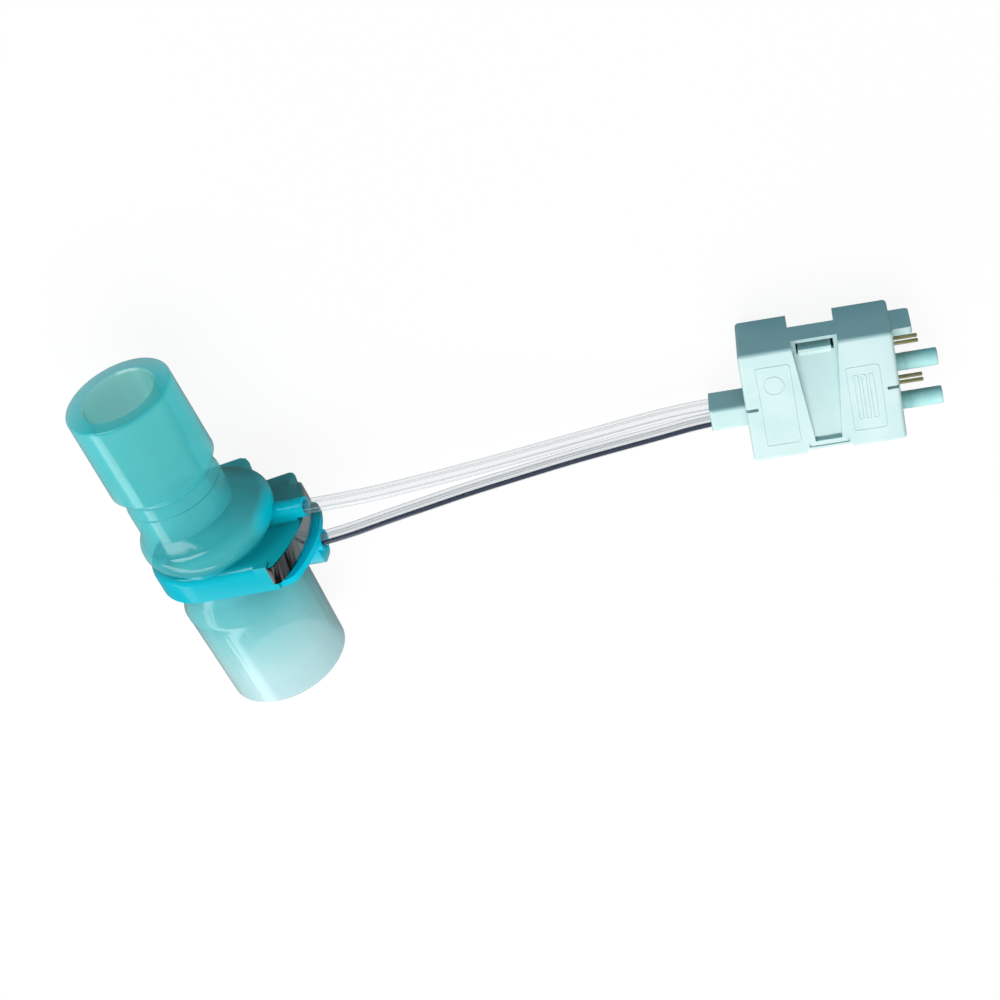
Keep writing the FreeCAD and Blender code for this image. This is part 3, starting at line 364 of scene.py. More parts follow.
    def blend(self, factor: Value, first: Tint, second: Tint) -> Socket:
        """Mixes two colours by a factor.

        Args:
            factor: a socket or a number, 0 for the first colour and 1 for the second.
            first: an sRGB colour of 0 to 255, or a colour's socket.
            second: an sRGB colour of 0 to 255, or a colour's socket.

        Returns:
            The mixed colour's socket.
        """
        mix = self.add("ShaderNodeMix", data_type="RGBA")
        colour_inputs = [socket for socket in mix.inputs if socket.type == "RGBA"]
        for socket, colour in zip(colour_inputs, (first, second)):
            self.feed(colour if isinstance(colour, Socket) else linear(colour), socket)
        self.feed(factor, mix.inputs[0])
        return next(socket for socket in mix.outputs if socket.type == "RGBA")

    def mixed(self, factor: Value, first: Socket, second: Socket) -> Socket:
        """Mixes two shaders.

        Args:
            factor: a socket or a number, 0 for the first shader and 1 for the second.
            first: a shader's socket.
            second: a shader's socket.

        Returns:
            The mixed shader's socket.
        """
        mix = self.add("ShaderNodeMixShader")
        self.feed(factor, mix.inputs[0])
        self.wire(first, mix.inputs[1])
        self.wire(second, mix.inputs[2])
        return mix.outputs[0]

    def see_through(self, share: Value, solid: Socket) -> Socket:
        """Lets a share of the light straight through a shader."""
        return self.mixed(share, solid, self.add("ShaderNodeBsdfTransparent").outputs[0])

    def gloss_over(self, under: Socket, roughness: float, ior: float, strength: Value = 1.0) -> None:
        """Sends a shader to the output with a clear gloss skin over it, stronger at a slant.

        Args:
            under: the shader below.
            roughness: how soft the reflections are.
            ior: the plastic's index of refraction.
            strength: a socket or a number, 1 for the whole gloss and 0 for none.
        """
        skin = self.add("ShaderNodeBsdfGlossy")
        skin.inputs["Roughness"].default_value = roughness
        slant = self.add("ShaderNodeFresnel")
        slant.inputs["IOR"].default_value = ior
        outside = self.inverse(self.add("ShaderNodeNewGeometry").outputs["Backfacing"])
        share = self.times(self.times(slant.outputs[0], outside), strength)
        self.wire(self.mixed(share, under, skin.outputs[0]), self.output.inputs["Surface"])

    def tint_wall(self, colour: Point, density: float) -> None:
        """Tints the light that goes through the inside of the plastic.

        Args:
            colour: the linear colour that is left.
            density: how fast the rest is taken up, per metre.
        """
        wall = self.add("ShaderNodeVolumeAbsorption")
        wall.inputs["Color"].default_value = (*colour, 1.0)
        wall.inputs["Density"].default_value = density
        self.wire(wall.outputs[0], self.output.inputs["Volume"])

    def roughen(self, shader: bpy.types.Node, grain: Grain) -> None:
        """Gives a shader's surface a fine grain.

        Args:
            shader: the shader that gets it.
            grain: the pattern.
        """
        node = self.add("ShaderNodeBump")
        node.inputs["Strength"].default_value = grain.strength
        node.inputs["Distance"].default_value = grain.depth
        self.wire(self.noise(grain.cells, grain.detail), node.inputs["Height"])
        self.wire(node.outputs[0], shader.inputs["Normal"])

    def matt(self, share: float) -> Socket:
        """Adds a matt grey shader.

        Args:
            share: how much light it gives back.

        Returns:
            The shader's socket.
        """
        shader = self.add("ShaderNodeBsdfDiffuse")
        shader.inputs["Color"].default_value = (share, share, share, 1.0)
        return shader.outputs[0]


@dataclass(frozen=True)
class Finish:
    """What every finish has: its material's name and the record's slot."""

    name: str
    slot: Slot

    def material(self) -> bpy.types.Material:
        """Builds the material; each kind of finish says how."""
        raise NotImplementedError(self.name)


@dataclass(frozen=True)
class SensorPlace:
    """How far a spot lies from the sensor's origin along its three axes, in millimetres."""

    across: Socket
    over: Socket
    along: Socket


@dataclass(frozen=True)
class TintedMoulding(Finish):
    """The sensor's glossy cloudy plastic: a coloured haze in a see-through wall, with a painted glow that
    makes some edges bright, painted shade on its lugs and painted light in its bore.
    """

    stops: Stops
    # shaded is painted shade, a darker colour on the lugs towards the table.
    shaded: Colour
    # glow is a painted glow, a bright colour where the plastic gathers light.
    glow: Colour
    # inside is painted light, a paler grey-green in the bore for the light that comes in through the walls.
    inside: Colour
    bore: float
    bore_from: float
    see_through: float
    wall: Point
    depth: float
    cloud: float = 0.35
    roughness: float = 0.14
    ior: float = 1.5
    bore_edge: float = 0.4
    bore_start: float = 0.5
    flange_solid: float = 0.93
    lit_matt: float = 0.65
    swirl: Grain = Grain(60.0, 0.02 * MM, 0.35, 3.0)

    def glowing(self, board: NodeBoard, place: SensorPlace) -> Socket:
        """Marks where the inlet's flange rim and its stub get a painted glow, for the light that they gather.

        Args:
            board: the material's nodes.
            place: where each spot lies in the sensor.

        Returns:
            The mask's socket.
        """
        rim = board.patch(place.along, RIM_LEVEL, place.over, RIM_FRONT)
        stub = board.patch(place.across, STUB_REACH, place.along, STUB_LEVEL)
        return board.larger(rim, stub)

    def tint(self, board: NodeBoard, place: SensorPlace, lit: Socket, lug: Socket) -> Socket:
        """Colours each spot by its level, then paints a glow on what gathers light, painted light in the bore,
        and painted shade on the lugs towards the table.

        Args:
            board: the material's nodes.
            place: where each spot lies in the sensor.
            lit: the mask of the painted glow, where the plastic gathers light.
            lug: the mask of the lugs towards the table, where shade is painted.

        Returns:
            The colour's socket.
        """
        squares = [board.math("POWER", part, 2.0) for part in (place.across, place.over)]
        radius = board.math("SQRT", board.math("ADD", *squares))
        bore_side = (self.bore + self.bore_edge, self.bore)
        bore_level = (self.bore_from - self.bore_start, self.bore_from)
        # Painted light: the bore takes the paler inside colour for the light that comes through its walls.
        inner = board.patch(radius, bore_side, place.along, bore_level)
        # Painted glow: what gathers light takes the bright glow colour.
        tint = board.blend(lit, board.ramp(place.along, self.stops), self.glow)
        tint = board.blend(inner, tint, self.inside)
        # Painted shade: the lugs towards the table take the darker shaded colour.
        return board.blend(lug, tint, self.shaded)

    def material(self) -> bpy.types.Material:
        """Builds the material: a haze that lets a part of the light straight through, under a gloss.

        Returns:
            The new material.
        """
        board = NodeBoard.for_material(self.name)
        shader = board.principled({"Roughness": self.roughness, "IOR": self.ior, "Specular IOR Level": 0.0})
        place = SensorPlace(*(board.along(axis, SENSOR_ORIGIN) for axis in SENSOR_AXES))
        lit = self.glowing(board, place)
        lug = board.patch(place.over, LUG_OVER, place.along, LUG_LEVEL)
        tint = self.tint(board, place, lit, lug)
        board.wire(tint, shader.inputs["Base Color"])
        board.roughen(shader, self.swirl)
        cloud = board.add("ShaderNodeBsdfTranslucent")
        board.wire(tint, cloud.inputs["Color"])
        haze = board.mixed(self.cloud, shader.outputs[0], cloud.outputs[0])
        flange = board.patch(place.along, FLANGE_TOP, place.along, FLANGE_FOOT)
        solid = board.larger(lug, board.larger(lit, board.times(flange, self.flange_solid)))
        body = board.see_through(board.times(board.inverse(solid), self.see_through), haze)
        gloss = board.inverse(board.times(lit, self.lit_matt))
        board.gloss_over(body, self.roughness, self.ior, gloss)
        board.tint_wall(self.wall, self.depth)
        return board.owner


@dataclass(frozen=True)
class OutletMoulding(TintedMoulding):
    """The same plastic in the paler outlet."""

    def glowing(self, board: NodeBoard, place: SensorPlace) -> Socket:
        """Marks where the outlet's lip and its boss get a painted glow, for the light that they gather."""
        return board.patch(place.across, LIP_REACH, place.along, LIP_LEVEL)


@dataclass(frozen=True)
class ClearPlastic(Finish):
    """Clear tube or sheet, greyer where its wall is seen at a slant, with or without a coloured line; on the
    tubes, grey lines are painted for the refraction at the bore's edges.
    """

    haze: Colour
    line: Colour = (0, 0, 0)
    line_half: float = 0.0
    line_core: float = 0.86
    line_share: float = 0.96
    painted_refraction: Colour = (156, 172, 190)
    painted_refraction_share: float = 0.32
    see_through: float = 0.975
    slant: Span = (0.95, 0.4)
    slant_blend: float = 0.3
    wall: Point = (0.6, 0.72, 0.8)
    depth: float = 45.0
    roughness: float = 0.08
    ior: float = 1.42

    def material(self) -> bpy.types.Material:
        """Builds the material: a thin haze that thickens at a slant, the painted refraction lines, the line,
        and a tint inside the wall.

        Returns:
            The new material.
        """
        board = NodeBoard.for_material(self.name)
        shader = board.principled({"Roughness": self.roughness, "Specular IOR Level": 0.0})
        slant = board.add("ShaderNodeLayerWeight")
        slant.inputs["Blend"].default_value = self.slant_blend
        through = board.times(board.step(slant.outputs["Facing"], self.slant), self.see_through)
        # Painted refraction: grey lines round the tube stand in for the dark edges that the bore and the bent
        # light show through the wall.
        painted_refraction = board.painted("refraction_lines")
        haze = board.blend(painted_refraction, self.haze, self.painted_refraction)
        held = board.times(painted_refraction, self.painted_refraction_share)
        if self.line_half:
            edge = (math.cos(self.line_half), math.cos(self.line_half * self.line_core))
            inked = board.step(board.painted("stripe"), edge)
            haze = board.blend(inked, haze, self.line)
            held = board.larger(held, board.times(inked, self.line_share))
        board.wire(haze, shader.inputs["Base Color"])
        body = board.see_through(board.times(through, board.inverse(held)), shader.outputs[0])
        board.gloss_over(body, self.roughness, self.ior)
        board.tint_wall(self.wall, self.depth)
        return board.owner


@dataclass(frozen=True)
class PlugPlastic(Finish):
    """The plug's milky plastic: two close tones in slow flow marks, a fine moulded grain and a soft gloss."""

    body: Colour
    marks: Colour
    roughness: float = 0.28
    ior: float = 1.46
    coat: float = 0.15
    flow_cells: float = 110.0
    flow_layers: float = 3.0
    flow_edge: Span = (0.35, 0.7)
    grain: Grain = Grain(2600.0, 0.006 * MM, 0.4)

    def material(self) -> bpy.types.Material:
        """Builds the material.

        Returns:
            The new material.
        """
        board = NodeBoard.for_material(self.name)
        shader = board.principled({"Roughness": self.roughness, "IOR": self.ior, "Coat Weight": self.coat})
        flow = board.step(board.noise(self.flow_cells, self.flow_layers), self.flow_edge)
        board.wire(board.blend(flow, self.body, self.marks), shader.inputs["Base Color"])
        board.roughen(shader, self.grain)
        return board.owner


@dataclass(frozen=True)
class PlainPlastic(Finish):
    """An opaque moulded plastic or resin with a fine grain."""

    body: Colour
    roughness: float = 0.45
    grain: Grain = Grain(4000.0, 0.01 * MM, 0.5)

    def material(self) -> bpy.types.Material:
        """Builds the material.

        Returns:
            The new material.
        """
        board = NodeBoard.for_material(self.name)
        shader = board.principled({"Base Color": linear(self.body), "Roughness": self.roughness})
        board.roughen(shader, self.grain)
        return board.owner


@dataclass(frozen=True)
class Metal(Finish):
    """A plated or rolled metal with fine draw marks."""

    body: Colour
    dark: Colour
    roughness: float = 0.2
    patch_cells: float = 350.0
    patch_layers: float = 4.0
    grain: Grain = Grain(5200.0, 0.004 * MM, 0.4)

    def darkness(self, board: NodeBoard) -> Socket:
        """How dark each spot is, 0 to 1, in slow patches."""
        return board.noise(self.patch_cells, self.patch_layers)

    def material(self) -> bpy.types.Material:
        """Builds the material from its two tones.

        Returns:
            The new material.
        """
        board = NodeBoard.for_material(self.name)
        shader = board.principled({"Metallic": 1.0, "Roughness": self.roughness})
        board.wire(board.blend(self.darkness(board), self.body, self.dark), shader.inputs["Base Color"])
        board.roughen(shader, self.grain)
        return board.owner


@dataclass(frozen=True)
class RolledStrip(Metal):
    """The clamp band's bright strip, which darkens in streaks towards its hooked end."""

    end_dark: float = 0.75
    streak_cells: float = 900.0
    streak_stretch: Point = (1.0, 12.0, 1.0)
    streak_edge: Span = (0.4, 0.62)
    streak_least: float = 0.15
    streak_share: float = 0.5

    def darkness(self, board: NodeBoard) -> Socket:
        """How dark each spot is: more towards the hooked end, streaked across the strip.

        Args:
            board: the material's nodes.

        Returns:
            The share's socket, 0 to 1.
        """
        base = board.times(board.step(board.along(SENSOR_AXES[1], SENSOR_ORIGIN), HOOK_END), self.end_dark)
        streaks = board.step(board.noise(self.streak_cells, stretch=self.streak_stretch), self.streak_edge)
        streak = board.times(streaks, board.math("ADD", base, self.streak_least))
        return board.math("MINIMUM", board.math("ADD", base, board.times(streak, self.streak_share)), 1.0)


# Levels along the bore in millimetres, each with the plastic's colour there.
INLET_STOPS: Stops = (
    (0.0, (0, 182, 196)),
    (3.6, (0, 188, 202)),
    (4.6, (16, 170, 180)),
    (6.0, (70, 200, 204)),
    (12.0, (86, 202, 207)),
    (18.0, (90, 206, 210)),
    (24.0, (88, 202, 207)),
    (43.0, (92, 204, 210)),
    (44.0, (30, 190, 200)),
)
OUTLET_STOPS: Stops = (
    (-31.9, (202, 229, 232)),
    (-24.0, (196, 230, 232)),
    (-16.0, (162, 220, 222)),
    (-9.0, (122, 208, 212)),
    (-3.0, (96, 196, 202)),
    (0.0, (20, 180, 190)),
)
INLET = TintedMoulding(
    name="inlet_teal",
    slot=Slot.INLET,
    stops=INLET_STOPS,
    shaded=(58, 160, 164),
    glow=(0, 190, 208),
    inside=(138, 198, 186),
    bore=7.9,
    bore_from=23.0,
    see_through=0.45,
    wall=(0.0, 0.86, 0.87),
    depth=130.0,
)
OUTLET = OutletMoulding(
    name="outlet_clear",
    slot=Slot.OUTLET,
    stops=OUTLET_STOPS,
    shaded=(60, 140, 146),
    glow=(0, 204, 226),
    inside=(200, 232, 230),
    bore=7.9,
    bore_from=60.0,
    see_through=0.26,
    wall=(0.0, 0.86, 0.87),
    depth=55.0,
)
PLUG = PlugPlastic("plug_pale", Slot.PLUG, (207, 231, 229), (197, 226, 224))
PORT = PlugPlastic("port_pale", Slot.PORT, (182, 232, 231), (162, 219, 218), roughness=0.16)
SHEET = ClearPlastic("sheet_film", Slot.SHEET, (206, 222, 224), see_through=0.45, depth=40.0, roughness=0.3)
TUBE_PALE = ClearPlastic("tube_clear", Slot.TUBE, (232, 238, 243))
TUBE_LINED = ClearPlastic(
    name="tube_lined",
    slot=Slot.TUBE,
    haze=(220, 226, 228),
    line=(16, 34, 58),
    line_half=math.radians(27),
    painted_refraction=(104, 116, 134),
    painted_refraction_share=0.5,
    see_through=0.91,
    depth=90.0,
)
BAND = RolledStrip("band_bright", Slot.BAND, (196, 204, 206), (34, 30, 26), 0.16)
GOLD = Metal("contact_gold", Slot.GOLD, (228, 214, 164), (166, 148, 96), 0.22)
BOARD = PlainPlastic("board_green", Slot.BOARD, (34, 110, 62))
CHIP = PlainPlastic("chip_resin", Slot.CHIP, (30, 30, 32), 0.55)
CERAMIC = PlainPlastic("capacitor_body", Slot.CERAMIC, (186, 158, 118), 0.4)
HEADER = PlainPlastic("header_black", Slot.HEADER, (34, 34, 36), 0.4)

NODE_FINISHES: dict[str, Finish] = {
    "upper_housing": INLET,
    "lower_housing": OUTLET,
    "flap_frame": SHEET,
    "flap_leaf": SHEET,
    "clamp_band": BAND,
    "rear_shell": PLUG,
    "front_shell": PLUG,
    "port_block": PORT,
    "circuit_board": BOARD,
    "memory_chip": CHIP,
    "capacitor": CERAMIC,
    "pin_header_1": HEADER,
    "pin_header_2": HEADER,
    "contact_pin_1": GOLD,
    "contact_pin_2": GOLD,
    "contact_pin_3": GOLD,
    "contact_pin_4": GOLD,
}


def grid_mesh(name: str, points: np.ndarray, wrap_u: bool, wrap_v: bool) -> bpy.types.Object:
    """Makes a piece from a grid of points; faces join each point to its neighbours along both axes.

    Args:
        name: the piece's name.
        points: an array of rows by columns by 3.
        wrap_u: whether the last row joins the first.
        wrap_v: whether the last column joins the first.

    Returns:
        The new piece, in the scene.
    """
    rows, columns = points.shape[:2]
    index = np.arange(rows * columns).reshape(rows, columns)
    first = index if wrap_u else index[:-1]
    second = np.roll(index, -1, 0) if wrap_u else index[1:]
    if wrap_v:
        quads = np.stack([first, np.roll(first, -1, 1), np.roll(second, -1, 1), second], -1)
    else:
        quads = np.stack([first[:, :-1], first[:, 1:], second[:, 1:], second[:, :-1]], -1)
    mesh = bpy.data.meshes.new(name)
    mesh.from_pydata(points.reshape(-1, 3).tolist(), [], quads.reshape(-1, 4).tolist())
    mesh.polygons.foreach_set("use_smooth", np.ones(len(mesh.polygons), bool))
    return add_piece(name, mesh)


@cache
def material_of(finish: Finish) -> bpy.types.Material:
    """Builds the one material of a finish when it is first asked for."""
    return finish.material()


def finish_piece(piece: bpy.types.Object, finish: Finish, body: str = SENSOR) -> bpy.types.Object:
    """Gives a piece its material and body, and logs it.

    Args:
        piece: the new piece.
        finish: the finish that it takes.
        body: the body that it rides on.

    Returns:
        The same piece.
    """
    piece.data.materials.clear()
    piece.data.materials.append(material_of(finish))
    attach(piece, body)
    LOG.info("%s: %s on %s", piece.name, finish.name, body)
    return piece


@dataclass
class PressureTube:
    """A clear tube on a smooth curve from its stub to its place in the plug.

    Turns round the tube count from its -Y side over its top; the turns of its painted refraction lines are
    degrees.
    """

    name: str
    node: str
    leaves_at: Point
    route: tuple[Point, ...]
    finish: ClearPlastic
    refraction_turns: tuple[float, ...]
    stripe_turn: float = math.radians(74)
    refraction_width: float = math.radians(5)
    outer: float = 1.52 * MM
    bore: float = 0.85 * MM
    around: int = 96
    steps: int = 24

    def centreline(self) -> np.ndarray:
        """Reads points along the route's smooth curve.

        Returns:
            An array of points, from the stub to the plug.
        """
        curve = bpy.data.curves.new(f"{self.name}_route", "CURVE")
        curve.dimensions = "3D"
        spline = curve.splines.new("NURBS")
        spline.points.add(len(self.route) - 1)
        for point, spot in zip(spline.points, self.route):
            point.co = (*spot, 1.0)
        spline.order_u = 3
        spline.use_endpoint_u = True
        spline.resolution_u = self.steps
        guide = add_piece(f"{self.name}_route", curve)
        bpy.context.view_layer.update()
        line = bpy.data.meshes.new_from_object(guide)
        points = np.array([vertex.co for vertex in line.vertices])
        bpy.data.objects.remove(guide)
        bpy.data.meshes.remove(line)
        return points

    def spokes(self, line: np.ndarray, turn: np.ndarray) -> np.ndarray:
        """Points outwards round each point of the centreline, square to it.

        Args:
            line: the centreline's points.
            turn: the angles round it.

        Returns:
            An array of vectors of length 1, points by angles.
        """
        along = np.gradient(line, axis=0)
        along /= np.linalg.norm(along, axis=1, keepdims=True)
        side = np.cross(along, np.array([0.0, 0.0, 1.0]))
        side /= np.linalg.norm(side, axis=1, keepdims=True)
        rise = np.cross(side, along)
        return np.cos(turn)[None, :, None] * side[:, None] + np.sin(turn)[None, :, None] * rise[:, None]

    def paint(self, piece: bpy.types.Object, name: str, skin: np.ndarray, in_bore: float) -> None:
        """Paints values round the skin, the same all along it, and one value in the bore.

        Args:
            piece: the tube's piece.
            name: the name that the finish reads them by.
            skin: the values round the skin.
            in_bore: the bore's value.
        """
        points = piece.data.attributes.new(name, "FLOAT", "POINT")
        rows = np.tile(skin, (len(points.data) // (2 * self.around), 1))
        values = np.concatenate([rows, np.full_like(rows, in_bore)])[::-1].ravel()
        points.data.foreach_set("value", values)

    def build(self) -> bpy.types.Object:
        """Carries a ring-shaped profile along the centreline: out along the skin, back along the bore.

        Returns:
            The tube's piece.
        """
        line = self.centreline()
        turn = np.linspace(0, 2 * math.pi, self.around, endpoint=False)
        ring = self.spokes(line, turn)
        skin = line[:, None] + self.outer * ring
        core = (line[:, None] + self.bore * ring)[::-1]
        piece = grid_mesh(self.name, np.concatenate([skin, core])[::-1], wrap_u=True, wrap_v=True)
        self.paint(piece, "stripe", np.cos(turn - self.stripe_turn), -1.0)
        # Painted refraction: grey lines at the listed turns, for the bore's edges seen through the wall.
        apart = np.angle(np.exp(1j * (turn[:, None] - np.radians(self.refraction_turns))))
        self.paint(piece, "refraction_lines", np.exp(-((apart / self.refraction_width) ** 2)).max(1), 0.0)
        finish_piece(piece, self.finish)
        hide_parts(self.node)
        return piece


@dataclass(frozen=True)
class Outline:
    """A raised outline on the plug's upper face; its corners are millimetres from the plug's middle."""

    name: str
    low: tuple[float, float]
    high: tuple[float, float]
    round_by: float


PANEL_ONE = Outline("panel_one", (-12.4, -8.8), (-5.6, 8.3), 0.6)
PANEL_TWO = Outline("panel_two", (5.2, -8.4), (11.8, 5.4), 0.6)
PANEL_RING = Outline("panel_one_ring", (-11.1, 2.2), (-7.2, 6.1), 1.94)
SLOT_STARTS = (6.5, 8.0, 9.5)
SLOT_WIDTH = 0.9
SLOTS = tuple(
    Outline(f"panel_two_slot_{count}", (x, -6.0), (x + SLOT_WIDTH, 3.6), 0.4)
    for count, x in enumerate(SLOT_STARTS)
)


@dataclass
class PlugRelief:
    """Thin raised lines on the plug's upper face, and a fine ring round each port."""

    outlines: tuple[Outline, ...] = (PANEL_ONE, PANEL_TWO, PANEL_RING, *SLOTS)
    middle: tuple[float, float] = (61.3 * MM, 6.8 * MM)
    top: float = 17.5 * MM
    line: float = 0.22 * MM
    proud: float = 0.06 * MM
    corner: int = 8
    rib_sides: tuple[float, ...] = (-1.0, -0.55, 0.55, 1.0)
    rib_lifts: tuple[float, ...] = (-0.6, 1.0, 1.0, -0.6)
    port_face: float = 15.4 * MM
    ring_stand: float = 2.0 * MM
    port_level: float = 8.3 * MM
    port_offsets: tuple[float, ...] = (1.05 * MM, -7.45 * MM)
    ring_shifts: tuple[float, ...] = (-0.2, -0.1, 0.1, 0.2)
    ring_radii: tuple[float, ...] = (1.75, 1.86, 1.86, 1.75)
    ring_around: int = 48

    def outline_path(self, outline: Outline) -> np.ndarray:
        """Goes once round an outline's rectangle with round corners.

        Args:
            outline: the outline.

        Returns:
            An array of points in the plane of the plug's upper face.
        """
        turn = np.linspace(0, math.pi / 2, self.corner)
        round_by = outline.round_by * MM
        left, front = (edge * MM + round_by for edge in outline.low)
        right, rear = (edge * MM - round_by for edge in outline.high)
        arcs = []
        for quarter, (x, y) in enumerate([(right, rear), (left, rear), (left, front), (right, front)]):
            around = turn + quarter * math.pi / 2
            arcs.append(np.stack([x + round_by * np.cos(around), y + round_by * np.sin(around)], 1))
        flat = np.concatenate(arcs) + np.array(self.middle)
        return np.column_stack([flat, np.full(len(flat), self.top)])

    def rib(self, outline: Outline) -> bpy.types.Object:
        """Carries a low trapezium along an outline: sunk sides, a narrower crest.

        Args:
            outline: the outline.

        Returns:
            The new piece.
        """
        path = self.outline_path(outline)
        along = np.roll(path, -1, 0) - np.roll(path, 1, 0)
        along /= np.linalg.norm(along, axis=1, keepdims=True)
        out = np.stack([along[:, 1], -along[:, 0], np.zeros(len(along))], 1)
        sides = np.array(self.rib_sides) * self.line
        lifts = np.outer(np.array(self.rib_lifts) * self.proud, [0.0, 0.0, 1.0])
        grid = path[:, None] + sides[None, :, None] * out[:, None] + lifts[None]
        return finish_piece(grid_mesh(outline.name, grid, wrap_u=True, wrap_v=True), PLUG)

    def ring(self, name: str, offset: float) -> bpy.types.Object:
        """Lays a fine band round a port: a flat ring whose sides sink into it.

        Args:
            name: the piece's name.
            offset: how far the port lies from the plug's middle along y.

        Returns:
            The new piece.
        """
        turn = np.linspace(0, 2 * math.pi, self.ring_around, endpoint=False)
        radii = np.array(self.ring_radii) * MM
        reach = self.middle[0] + self.port_face + self.ring_stand
        parts = [
            np.tile(reach + np.array(self.ring_shifts) * MM, (len(turn), 1)),
            self.middle[1] + offset + np.outer(np.cos(turn), radii),
            self.port_level + np.outer(np.sin(turn), radii),
        ]
        grid = np.stack(parts, -1)[::-1]
        return finish_piece(grid_mesh(name, grid, wrap_u=True, wrap_v=True), PORT)

    def build(self) -> None:
        """Makes the two outlined panels, their marks and the ports' rings."""
        for outline in self.outlines:
            self.rib(outline)
        for count, offset in enumerate(self.port_offsets):
            self.ring(f"port_ring_{count}", offset)


# The tubes' routes from their stubs to the plug, as the control points of smooth curves.
UPPER_ROUTE: tuple[Point, ...] = (
    (-0.048675, 0.003435, 0.023021),
    (-0.040254, 0.004529, 0.024915),
    (-0.03072, 0.0049, 0.02505),
    (-0.02255, 0.00508, 0.02375),
    (-0.01453, 0.00483, 0.02147),
    (-0.0052, 0.00445, 0.01825),
    (0.0043, 0.004, 0.01445),
    (0.01368, 0.00358, 0.0109),
    (0.0223, 0.00344, 0.00805),
    (0.0299, 0.0035, 0.0063),
    (0.0379, 0.00375, 0.0059),
    (0.0527, 0.00375, 0.0059),
    (0.0659, 0.00785, 0.0083),
    (0.0741, 0.00785, 0.0083),
)
LOWER_ROUTE: tuple[Point, ...] = (
    (-0.047132, -0.005597, 0.020921),
    (-0.039212, -0.0039, 0.0229),
    (-0.02796, -0.0012, 0.02365),
    (-0.0195, 0.0002, 0.0232),
    (-0.0111, 0.0011, 0.02158),
    (-0.0017, 0.0015, 0.01915),
    (0.0083, 0.0018, 0.01635),
    (0.01757, 0.0019, 0.01393),
    (0.0267, 0.0021, 0.01205),
    (0.0379, 0.00305, 0.0109),
    (0.0527, 0.00305, 0.0109),
    (0.0659, -0.00065, 0.0083),
    (0.0741, -0.00065, 0.0083),
)


@dataclass
class Dresser:
    """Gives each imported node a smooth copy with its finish."""

    crease: float = math.radians(28)
    flat: float = math.radians(0.5)
    merge: float = 1e-6
    dressed: list[str] = field(default_factory=list)

    def smooth(self, mesh: bpy.types.Mesh) -> None:
        """Merges a mesh's triangles into faces and smooths what is round.

        Args:
            mesh: the mesh that is changed.
        """
        work = bmesh.new()
        work.from_mesh(mesh)
        bmesh.ops.remove_doubles(work, verts=work.verts, dist=self.merge)
        bmesh.ops.dissolve_limit(work, angle_limit=self.flat, verts=work.verts, edges=work.edges)
        for edge in work.edges:
            edge.smooth = len(edge.link_faces) == 2 and edge.calc_face_angle(0) < self.crease
        for face in work.faces:
            face.smooth = True
        work.to_mesh(mesh)
        work.free()

    def dress(self, node: str, finish: Finish, body: str) -> bpy.types.Object:
        """Makes a node's smooth copy, which takes its place.

        Args:
            node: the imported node's name.
            finish: the finish it takes.
            body: the body it belongs to.

        Returns:
            The copy.
        """
        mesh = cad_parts[node].data.copy()
        self.smooth(mesh)
        copy = add_piece(f"{node}_skin", mesh)
        finish_piece(copy, finish, body)
        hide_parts(node)
        self.dressed.append(node)
        return copy


@cache
def pieces_of(group: Group) -> bpy.types.Collection:
    """Gathers a group's dressed pieces in a collection outside the scene.

    Args:
        group: the group.

    Returns:
        The collection.
    """
    pieces = bpy.data.collections.new(group.name.lower())
    for node in group.value:
        pieces.objects.link(bpy.data.objects[f"{node}_skin"])
    return pieces


@dataclass(frozen=True)
class Lamp:
    """A rectangular soft lamp; it lights every piece, or only one group of them."""

    name: str
    place: Point
    target: Point
    size: tuple[float, float]
    watts: float
    mirrored: bool = True
    group: Group | None = None
    tone: Point = (1.0, 1.0, 1.0)

    def build(self) -> None:
        """Hangs the lamp in the scene, out of the camera's sight."""
        data = bpy.data.lights.new(self.name, "AREA")
        data.shape = "RECTANGLE"
        data.size, data.size_y = self.size
        data.energy = self.watts
        data.color = self.tone
        lamp = add_piece(self.name, data)
        lamp.location = self.place
        facing = Vector(self.place) - Vector(self.target)
        lamp.rotation_euler = facing.to_track_quat("Z", "Y").to_euler()
        lamp.visible_glossy = self.mirrored
        lamp.visible_camera = False
        if self.group:
            lamp.light_linking.receiver_collection = pieces_of(self.group)


MIDDLE: Point = (0.0, 0.0, 0.0)
LAMPS = (
    Lamp("side_strip", (-0.544, -0.667, 0.263), MIDDLE, (1.4, 0.25), 3.6),
    Lamp("overhead", (-0.085, -0.296, 0.845), MIDDLE, (0.9, 0.7), 7.4, mirrored=False),
    Lamp(
        name="fill",
        place=(-0.2, 0.14, 0.12),
        target=(-0.065, 0.0, 0.02),
        size=(0.15, 0.1),
        watts=0.27,
        group=Group.SENSOR_BODY,
    ),
    Lamp(
        name="near_side",
        place=(0.03, 0.05, 0.05),
        target=(-0.06, 0.0, 0.02),
        size=(0.06, 0.06),
        watts=0.07,
        mirrored=False,
        group=Group.SENSOR_BODY,
    ),
    Lamp(
        name="plug_side",
        place=(0.06, 0.35, 0.02),
        target=(0.06, 0.0, 0.01),
        size=(0.3, 0.1),
        watts=0.34,
        mirrored=False,
        group=Group.PLUG,
        tone=(0.29, 0.83, 1.0),
    ),
)


